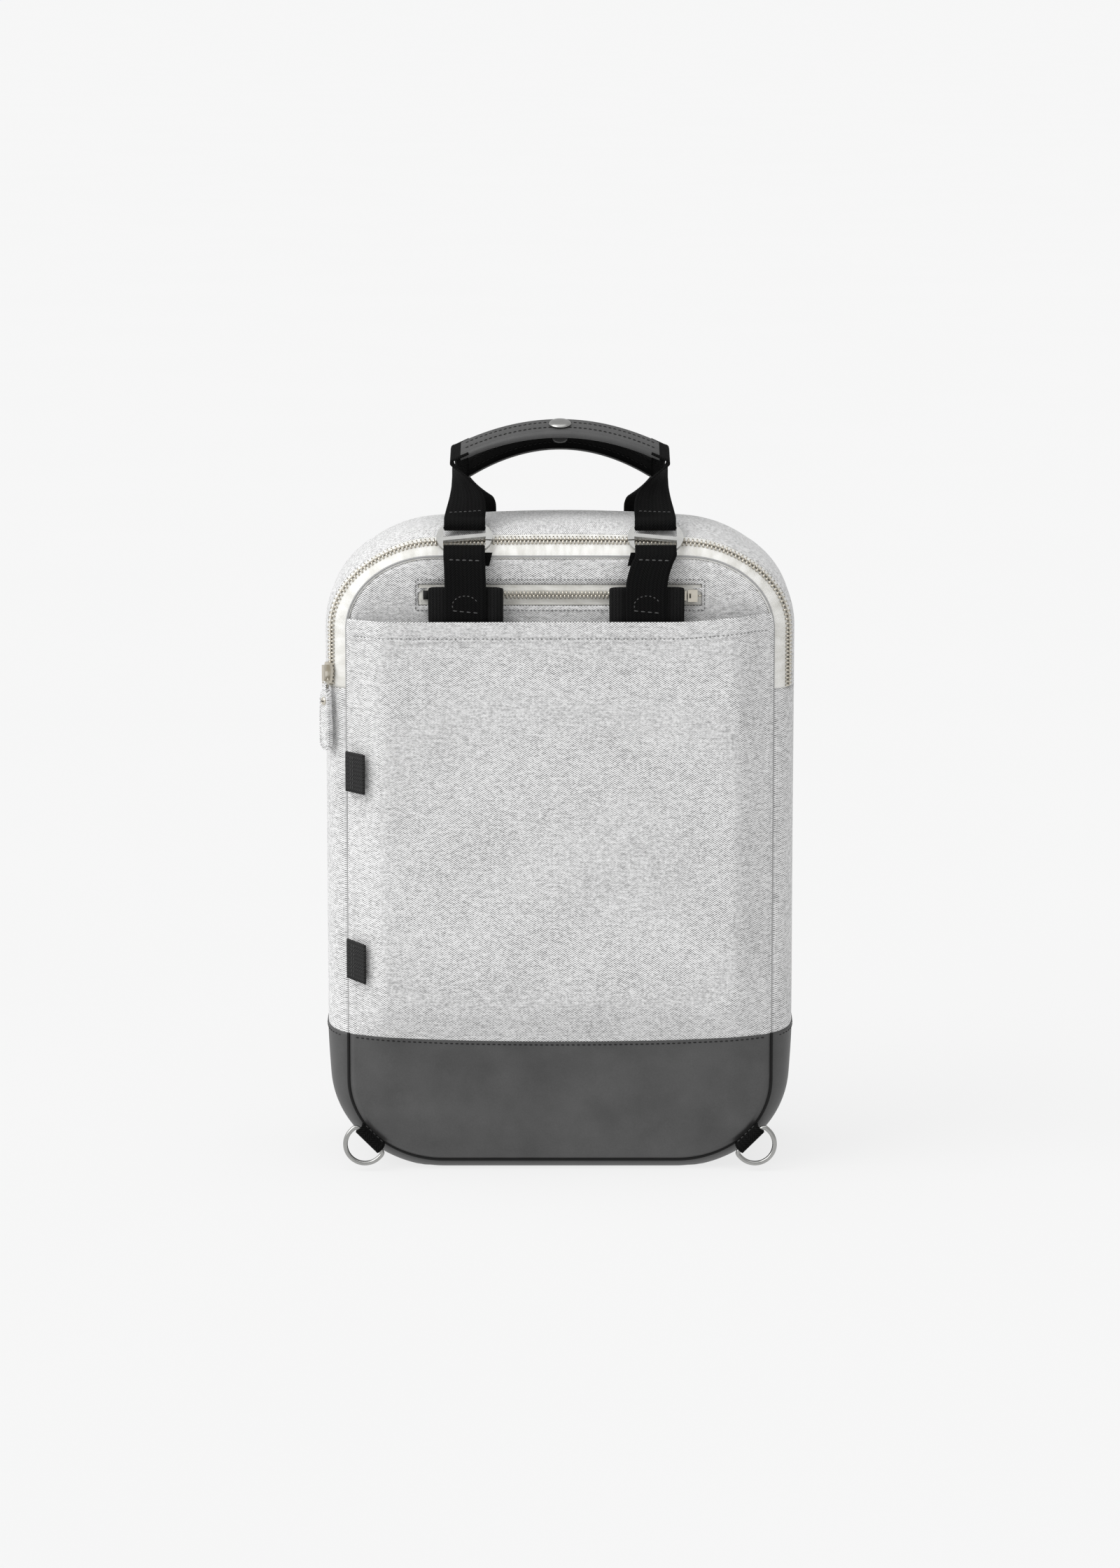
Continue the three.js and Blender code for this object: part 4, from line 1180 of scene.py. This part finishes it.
def grip_point(grip, along, across, face):
    """A point of a grip's skin: along and across run from -1 to 1; face is 1 on top, -1 beneath."""
    wide, up = grip_frame(grip)
    x = grip["half"] * along
    z = grip["top"] - grip["drop"] * along * along
    rim = abs(across)
    height = GRIP[1] / 2 * math.sqrt(max(0, 1 - rim ** 7))
    sewn = sum(math.exp(-(((across - row) * 12.5 / 0.9) ** 2)) for row in GRIP_STITCH_ROWS)
    hollow = 0.55 * smooth((0.74 - rim) / 0.12) + 0.3 * sewn
    ends = 1 - 0.14 * smooth((abs(along) - 0.95) / 0.05)
    lift = face * (height - min(hollow, height * 0.6)) * ends - 1.2 * across * across
    return Vector((x, grip["y"], z)) + wide * (GRIP[0] / 2 * across) + up * lift


def make_grip(name, grip):
    """A leather grip with a sunk, stitched face, and near-black leather in the middle of its underside as
    painted shade.
    """
    across_cells, rows = 26, 110
    ring = [(-math.cos(math.pi * k / across_cells), 1) for k in range(across_cells + 1)]
    ring += [(math.cos(math.pi * k / across_cells), -1) for k in range(1, across_cells)]
    steps = [2 * spread(j, rows) - 1 for j in range(rows + 1)]
    points = [grip_point(grip, along, c, face) for along in steps for c, face in ring]
    obj = closed_piece(f"{name}_grip_skin", points, len(ring))
    settle(obj, GRIP_LEATHER, grip["body"], "leather", [f"{name}_grip"])
    # The middle of the underside gets the near-black leather, which is painted shade.
    obj.data.materials.append(GRIP_UNDERSIDE_SHADE)
    wide, up = grip_frame(grip)
    for polygon in obj.data.polygons:
        x = polygon.center.x / MM
        middle = Vector((x, grip["y"], grip["top"] - grip["drop"] * (x / grip["half"]) ** 2))
        offset = polygon.center / MM - middle
        if offset.dot(up) < 0 and abs(offset.dot(wide)) < GRIP[0] * UNDERSIDE_SHADE_SHARE:
            polygon.material_index = 1
    stitches = []
    for row in GRIP_STITCH_ROWS:
        for face in (1, -1):
            path = [grip_point(grip, t, row, face) + up * (face * 0.15) for t in frange(-0.96, 0.96, 40)]
            stitches += seam(path, up * face, 3.1, 0.68, 0.3)
    settle(many(f"{name}_grip_stitches", stitches), BLACK_THREAD, grip["body"], "leather")


def make_handle(name, grip, stops, way, steps, stitched_at, face):
    """A grip and both its webbings, which follow the stops of the left one and run into the grip."""
    make_grip(name, grip)
    end_z = grip["top"] - grip["drop"]
    rise = 2 * grip["drop"] / grip["half"]
    skew = grip["half"] * abs(math.sin(math.radians(grip["tilt"]))) * 0.085
    wide, _ = grip_frame(grip)
    into = []
    for x in (4 + skew, 1.2 + skew, -5):
        into.append(((-grip["half"] - x, grip["y"], end_z - rise * x), wide * way))
    for word, hand in (("left", 1), ("right", -1)):
        path = [((p[0] * hand, p[1], p[2]), (w[0], w[1] * hand, w[2] * hand)) for p, w in [*stops, *into]]
        line = ribbon_line(path, steps)
        strap = ribbon(f"{name}_webbing_{word}_cloth", line, *WEBBING)
        settle(strap, STRAP_WEBBING, grip["body"], "webbing", [f"{name}_webbing_{word}"])
        place = stitched_at / (len(path) - 1)
        stitches = cross_row(line, place, face * STITCH_FACE, 10.5, 3.0, 0.3, 0.15)
        settle(many(f"{name}_stitches_{word}", stitches), WEBBING_THREAD, grip["body"], "webbing")


def make_handles():
    x = -HOOK_X
    tail = [on_hook(x, 15.5, -1.2), on_hook(x, 12.5, -2.5), *loop_round(x, RAIL, -1)]
    tail += [on_hook(x, 12.5, 2.5), on_hook(x, 15.5, 1.8)]
    twist = [((-58.8, -38, 418.5), (0.97, -0.2, 0.1)), ((-58.5, -31, 424.5), (0.85, -0.5, 0.12))]
    twist += [((-60, -23, 430.5), (0.62, -0.75, 0.14)), ((-63, -15.5, 436), (0.35, -0.92, 0.1))]
    twist += [((-66, -10.5, 441.3), (0.12, -0.99, 0)), ((-68.3, -8.3, 446.3), (0, -0.98, -0.18))]
    stops = [(p, ACROSS) for p in tail] + twist
    make_handle("back_handle", GRIPS["back_handle"], stops, -1, 190, 8.6, -1)
    tail = [(-54, 61.6, 392.2), (-54, 61.9, 396), (-54, 61.4, 401), (-54, 59.5, 409)]
    twist = [((-54.5, 53.5, 418), (0.95, 0, -0.3)), ((-56, 44.5, 425.5), (0.8, 0, -0.6))]
    twist += [((-59, 35.5, 431), (0.5, 0.15, -0.85)), ((-62.8, 27, 434.5), (0.2, 0.3, -0.93))]
    twist += [((-65.5, 19.8, 436), (0.05, 0.55, -0.83))]
    stops = [(p, ACROSS) for p in tail] + twist
    make_handle("front_handle", GRIPS["front_handle"], stops, 1, 130, 1, 1)


# Press studs, as (radius, height) from the leather out.
DOMED = [(0, 0), (7, 0), (7.1, 0.3), (6.9, 0.7), (6.2, 1.3), (5, 1.65), (3.2, 1.85), (1.5, 1.95), (0, 2)]
RINGED = [(0, 0), (5.5, 0), (5.6, 0.6), (5.3, 1.3), (4.8, 1.55), (4.2, 1.5), (3.6, 1.2), (3.2, 0.7), (0, 0.6)]
KNOB = [(0, 0), (5.5, 0), (5.5, 0.5), (4.8, 0.8), (2.3, 1), (2.1, 1.7), (2.6, 2.2), (2.4, 2.6), (1.6, 2.75),
        (0, 2.8)]
BACK_CAP = [(0, 0), (5, 0), (5, 0.35), (4.6, 0.65), (3, 0.85), (0, 0.95)]


def make_snaps():
    for node, profile, way, metal in (
        ("back_handle_snap_cap", DOMED, 1, STEEL),
        ("back_handle_snap_socket", RINGED, -1, STEEL),
        ("front_handle_snap_stud", KNOB, 1, STEEL),
        ("front_handle_snap_cap", BACK_CAP, -1, DARK_METAL),
    ):
        grip = GRIPS[node.split("_snap")[0]]
        _, up = grip_frame(grip)
        centre = Vector((0, grip["y"], grip["top"])) + up * (way * (GRIP[1] / 2 - 0.35))
        obj = lathe(f"{node}_turned", profile, centre, up * way)
        settle(obj, metal, grip["body"], "steel", [node])


# ---- corner rings and side loops
RING = (12.35, 1.5, 4.7)  # radius and wire of a D-ring, and its flat side from the middle
RING_Y = -67
TAB = (19, 1.5)
TAB_HOLE = 1.85


def make_corner(side, way):
    """A D-ring through a webbing tab at a lower corner."""
    out = Vector((way, 0, -1)).normalized()
    along = BACKWARDS.cross(out)
    radius, wire, flat = RING
    tab_x, _, tab_z = centre_of(f"corner_tab_{side}")
    centre = Vector((tab_x, RING_Y, tab_z)) + out * flat
    path = []
    for k in range(120):
        a = 2 * math.pi * k / 120
        c, s = math.cos(a), math.sin(a)
        if c >= 0:
            x, y = radius * c, radius * s
        else:
            x, y = -flat * (-c) ** 0.4, radius * math.copysign(abs(s) ** 0.4, s)
        path.append(centre + out * x + along * y)
    ring = tube(f"corner_ring_{side}_wire", path, wire, 16, closed=True)
    settle(ring, STEEL, f"corner_ring_{side}_body", "steel", [f"corner_ring_{side}"])
    bar = centre - out * flat
    reach = TAB_HOLE + TAB[1] / 2
    legs = -HALF_DEPTH - 0.3 - RING_Y
    spots = [bar - out * reach + Vector((0, legs * t, 0)) for t in (1, 0.5)]
    for t in (0, 45, 90, 135, 180):
        a = math.radians(t)
        spots.append(bar - out * (reach * math.cos(a)) + Vector((0, -reach * math.sin(a), 0)))
    spots += [bar + out * reach + Vector((0, legs * t, 0)) for t in (0.5, 1)]
    line = ribbon_line([(p, along) for p in spots], 60)
    tab = ribbon(f"corner_tab_{side}_cloth", line, *TAB)
    settle(tab, STRAP_WEBBING, "shell", "webbing", [f"corner_tab_{side}"])
    stitches = cross_row(line, 0.12, STITCH_FACE, 8, 2.8) + cross_row(line, 0.88, STITCH_FACE, 8, 2.8)
    settle(many(f"corner_tab_{side}_stitches", stitches), WEBBING_THREAD, "shell", "webbing")


def make_side_loop(name, lean):
    """A flat webbing loop that comes out of the left seam; lean is how much its outer end drops."""
    low, high = cad_mm(name)
    middle = (low[2] + high[2]) / 2
    stops = []
    for t in frange(0, 1, 4):
        spot = (mix(low[0], high[0] - 0.8, t), mix(high[1] - 1.8, low[1] + 1.0, t), middle + lean * (0.5 - t))
        stops.append((spot, UP))
    line = ribbon_line(stops, 24)
    loop = ribbon(f"{name}_cloth", line, high[2] - low[2] - lean - 0.6, 2.2)
    settle(loop, SIDE_WEBBING, "shell", "webbing", [name])
    stitches = []
    for place in (0.3, 0.42):
        for face in (1.15, -1.15):
            stitches += cross_row(line, place, face, 10.5, 2.6, 0.25)
    settle(many(f"{name}_stitches", stitches), WEBBING_THREAD, "shell", "webbing")


# ---- zip pulls
PULL_FACING = (-0.8282, 0.5604)  # a pull's flat side looks out to the left and a little back or forward
PULL_STITCHES = 4.2  # from a pull's middle to its edge stitching
RIVET = [(0, 0), (2.6, 0), (2.65, 0.3), (2.4, 0.7), (1.7, 1.05), (0.8, 1.15), (0, 1.2)]


def make_pull(zip_name, way):
    """The canvas tab on a long zip: folded double, edge-stitched, with a slotted rivet."""
    polish(f"{zip_name}_slider", ZIP_METAL, 0.35)
    polish(f"{zip_name}_pull_link", ZIP_METAL, smooth_it=True)
    polish(f"{zip_name}_pull", CANVAS_TAB, 0.7)
    body = f"{zip_name}_pull_body"
    low, high = cad_mm(f"{zip_name}_pull")
    middle = Vector(centre_of(f"{zip_name}_pull"))
    facing = Vector((PULL_FACING[0], way * PULL_FACING[1], 0)).normalized()
    up = Vector(UP)
    sideways = up.cross(facing)
    foot, head = low[2] - middle.z + 1.4, high[2] - middle.z - 8.5
    outline = [(-PULL_STITCHES, head)]
    for t in frange(-90, 90, 14):
        a = math.radians(t)
        outline.append((PULL_STITCHES * math.sin(a), foot + PULL_STITCHES * (1 - math.cos(a))))
    outline.append((PULL_STITCHES, head))
    stitches = []
    for face in (1, -1):
        path = [middle + sideways * x + up * z + facing * (face * 1.55) for x, z in outline]
        stitches += seam(path, facing * face, 2.6, 0.65, 0.28)
    settle(many(f"{zip_name}_pull_stitches", stitches), PALE_THREAD, body, "canvas")
    centre = Vector(centre_of(f"{zip_name}_pull_rivet")) - facing * 0.6
    head_piece = lathe(f"{zip_name}_rivet_head", RIVET, centre, facing, 32)
    settle(head_piece, ZIP_METAL, body, "zip_metal", [f"{zip_name}_pull_rivet"])
    # The slot is not cut: a thin near-black bar on the rivet's head is painted shade for it.
    slot = block(centre + facing * 1.02, up, sideways, facing, (0.7, 3.4, 0.2), 0.9)
    settle(many(f"{zip_name}_rivet_slot_shade", [slot]), SHADE_BLACK, body, "webbing")


# ---- stitching on the panels
LEATHER_STITCH = (3.3, 0.62, 0.34)  # pitch, share of it that is thread, and radius


def make_stitches():
    """The rows along the leather's upper edge and the slip pocket's hem."""
    def on_panel(face, z_of):
        path = []
        for t in frange(-1, 1, 60):
            x = (half_width(z_of(0), 0) - 4) * t
            z = z_of(t)
            path.append((x, face(x, z) - 0.05, z))
        return path

    def leather_row(t):
        return LEATHER_MID - 2.2 + leather_curve(t)

    def hem_row(t):
        return MOUTH - HEM_STITCHES + mouth_rise(HALF_WIDTH * t)

    base = on_panel(leather_face, leather_row)
    front = [(x, -y, z) for x, y, z in on_panel(lambda x, z: -front_face(x, z) - 0.4, leather_row)]
    side_rows = []
    for s, way in ((RIGHT_BASE, 1), (LEFT_BASE, -1)):
        path = []
        for y in frange(-HALF_DEPTH + 3, HALF_DEPTH - 3, 40):
            drop = 2.6 - LEATHER_RISE * (1 - (y / HALF_DEPTH) ** 2)
            path.append(on_gusset(s - way * drop, y, 0.5))
        side_rows += seam(path, (way, 0, 0), *LEATHER_STITCH)
    for name, rows, thread, slot in (
        ("base_stitches", seam(base, BACKWARDS, *LEATHER_STITCH), BLACK_THREAD, "leather"),
        ("slip_pocket_hem_stitches", seam(on_panel(pocket_surface, hem_row), BACKWARDS, 2.8, 0.66, 0.3),
         GREY_THREAD, "canvas"),
        ("front_base_stitches", seam(front, -BACKWARDS, *LEATHER_STITCH), BLACK_THREAD, "leather"),
        ("base_gusset_stitches", side_rows, BLACK_THREAD, "leather"),
    ):
        settle(many(name, rows), thread, "shell", slot)


# ---- build it all
make_back_panel()
make_back_leather()
make_slip_pocket()
make_front()
make_gusset()
make_seam_cord()
make_long_zip("main_zip", -1, "shell", ["main_zip_teeth"], [])
make_long_zip("front_zip", 1, "flap", ["front_zip_teeth_outer"], ["front_zip_teeth_inner"])
make_pocket_zip()
for hook_side, sign, strap_x in (("left", -1, -58.8), ("right", 1, 54)):
    make_strap(hook_side, sign * HOOK_X, strap_x, -sign)
    polish(f"strap_hook_{hook_side}", STEEL, 0.35)
    make_corner(hook_side, sign)
make_handles()
make_snaps()
make_side_loop("side_loop_upper", 1)
make_side_loop("side_loop_lower", 2.5)
make_pull("main_zip", -1)
make_pull("front_zip", 1)
make_stitches()
polish("base_board", BOARD, 0.5)
polish("laptop_divider", FOAM, 0.8)

# ---- floor, lights and camera
scene = bpy.context.scene
scene.view_settings.view_transform = "Standard"
AIM = Vector((0, -0.060, 0.2474))
DISTANCE = 3.193
ELEVATION = math.radians(9.6)
FLOOR_HALF = 90
FLOOR_GLOW = 0.778
SKY_DIM, SKY_BRIGHT = 0.4, 0.84
LENS = 117
WHITE = (1, 1, 1, 1)

floor_mesh = bpy.data.meshes.new("floor")
bm = bmesh.new()
bmesh.ops.create_grid(bm, x_segments=8, y_segments=8, size=FLOOR_HALF)
bm.to_mesh(floor_mesh)
bm.free()
floor = bpy.data.objects.new("floor", floor_mesh)
scene.collection.objects.link(floor)
floor_look = Shader("floor", 0.95, specular=0.0)
floor_look.colours(floor_look.space_noise(400, 1), [(0.3, 0.12), (0.7, 0.123)])
floor_look.bsdf.inputs["Emission Color"].default_value = WHITE
floor_look.bsdf.inputs["Emission Strength"].default_value = FLOOR_GLOW
floor.data.materials.append(floor_look.material)

world = bpy.data.worlds.new("studio")
scene.world = world
world.use_nodes = True
tree = world.node_tree
sky = tree.nodes.new("ShaderNodeTexCoord")
turned = tree.nodes.new("ShaderNodeMapping")
turned.inputs["Rotation"].default_value = (0, 0, math.pi)
fade = tree.nodes.new("ShaderNodeTexGradient")
ramp = tree.nodes.new("ShaderNodeMapRange")
for socket, value in (("From Min", -0.7), ("From Max", 0.9), ("To Min", SKY_DIM), ("To Max", SKY_BRIGHT)):
    ramp.inputs[socket].default_value = value
tree.links.new(sky.outputs["Generated"], turned.inputs["Vector"])
tree.links.new(turned.outputs[0], fade.inputs["Vector"])
tree.links.new(fade.outputs["Fac"], ramp.inputs["Value"])
tree.links.new(ramp.outputs[0], tree.nodes["Background"].inputs["Strength"])
tree.nodes["Background"].inputs["Color"].default_value = WHITE


def soft_sun(name, azimuth, elevation, spread_angle, power):
    """A broad light from far away; azimuth 0 is behind the camera and 90 to the left."""
    data = bpy.data.lights.new(name, "SUN")
    data.energy = power
    data.angle = math.radians(spread_angle)
    light = bpy.data.objects.new(name, data)
    scene.collection.objects.link(light)
    a, e = math.radians(azimuth), math.radians(elevation)
    towards = Vector((-math.sin(a) * math.cos(e), -math.cos(a) * math.cos(e), math.sin(e)))
    light.rotation_euler = towards.to_track_quat("Z", "Y").to_euler()


soft_sun("key", 62, 38, 50, 1.5)
soft_sun("top", 20, 75, 70, 0.9)

lens = bpy.data.cameras.new("camera")
camera = bpy.data.objects.new("camera", lens)
scene.collection.objects.link(camera)
camera.location = AIM + Vector((0, -math.cos(ELEVATION), math.sin(ELEVATION))) * DISTANCE
camera.rotation_euler = (AIM - camera.location).to_track_quat("-Z", "Y").to_euler()
lens.lens = LENS
lens.sensor_width = 36
lens.clip_start = 0.05
lens.clip_end = 400
scene.camera = camera
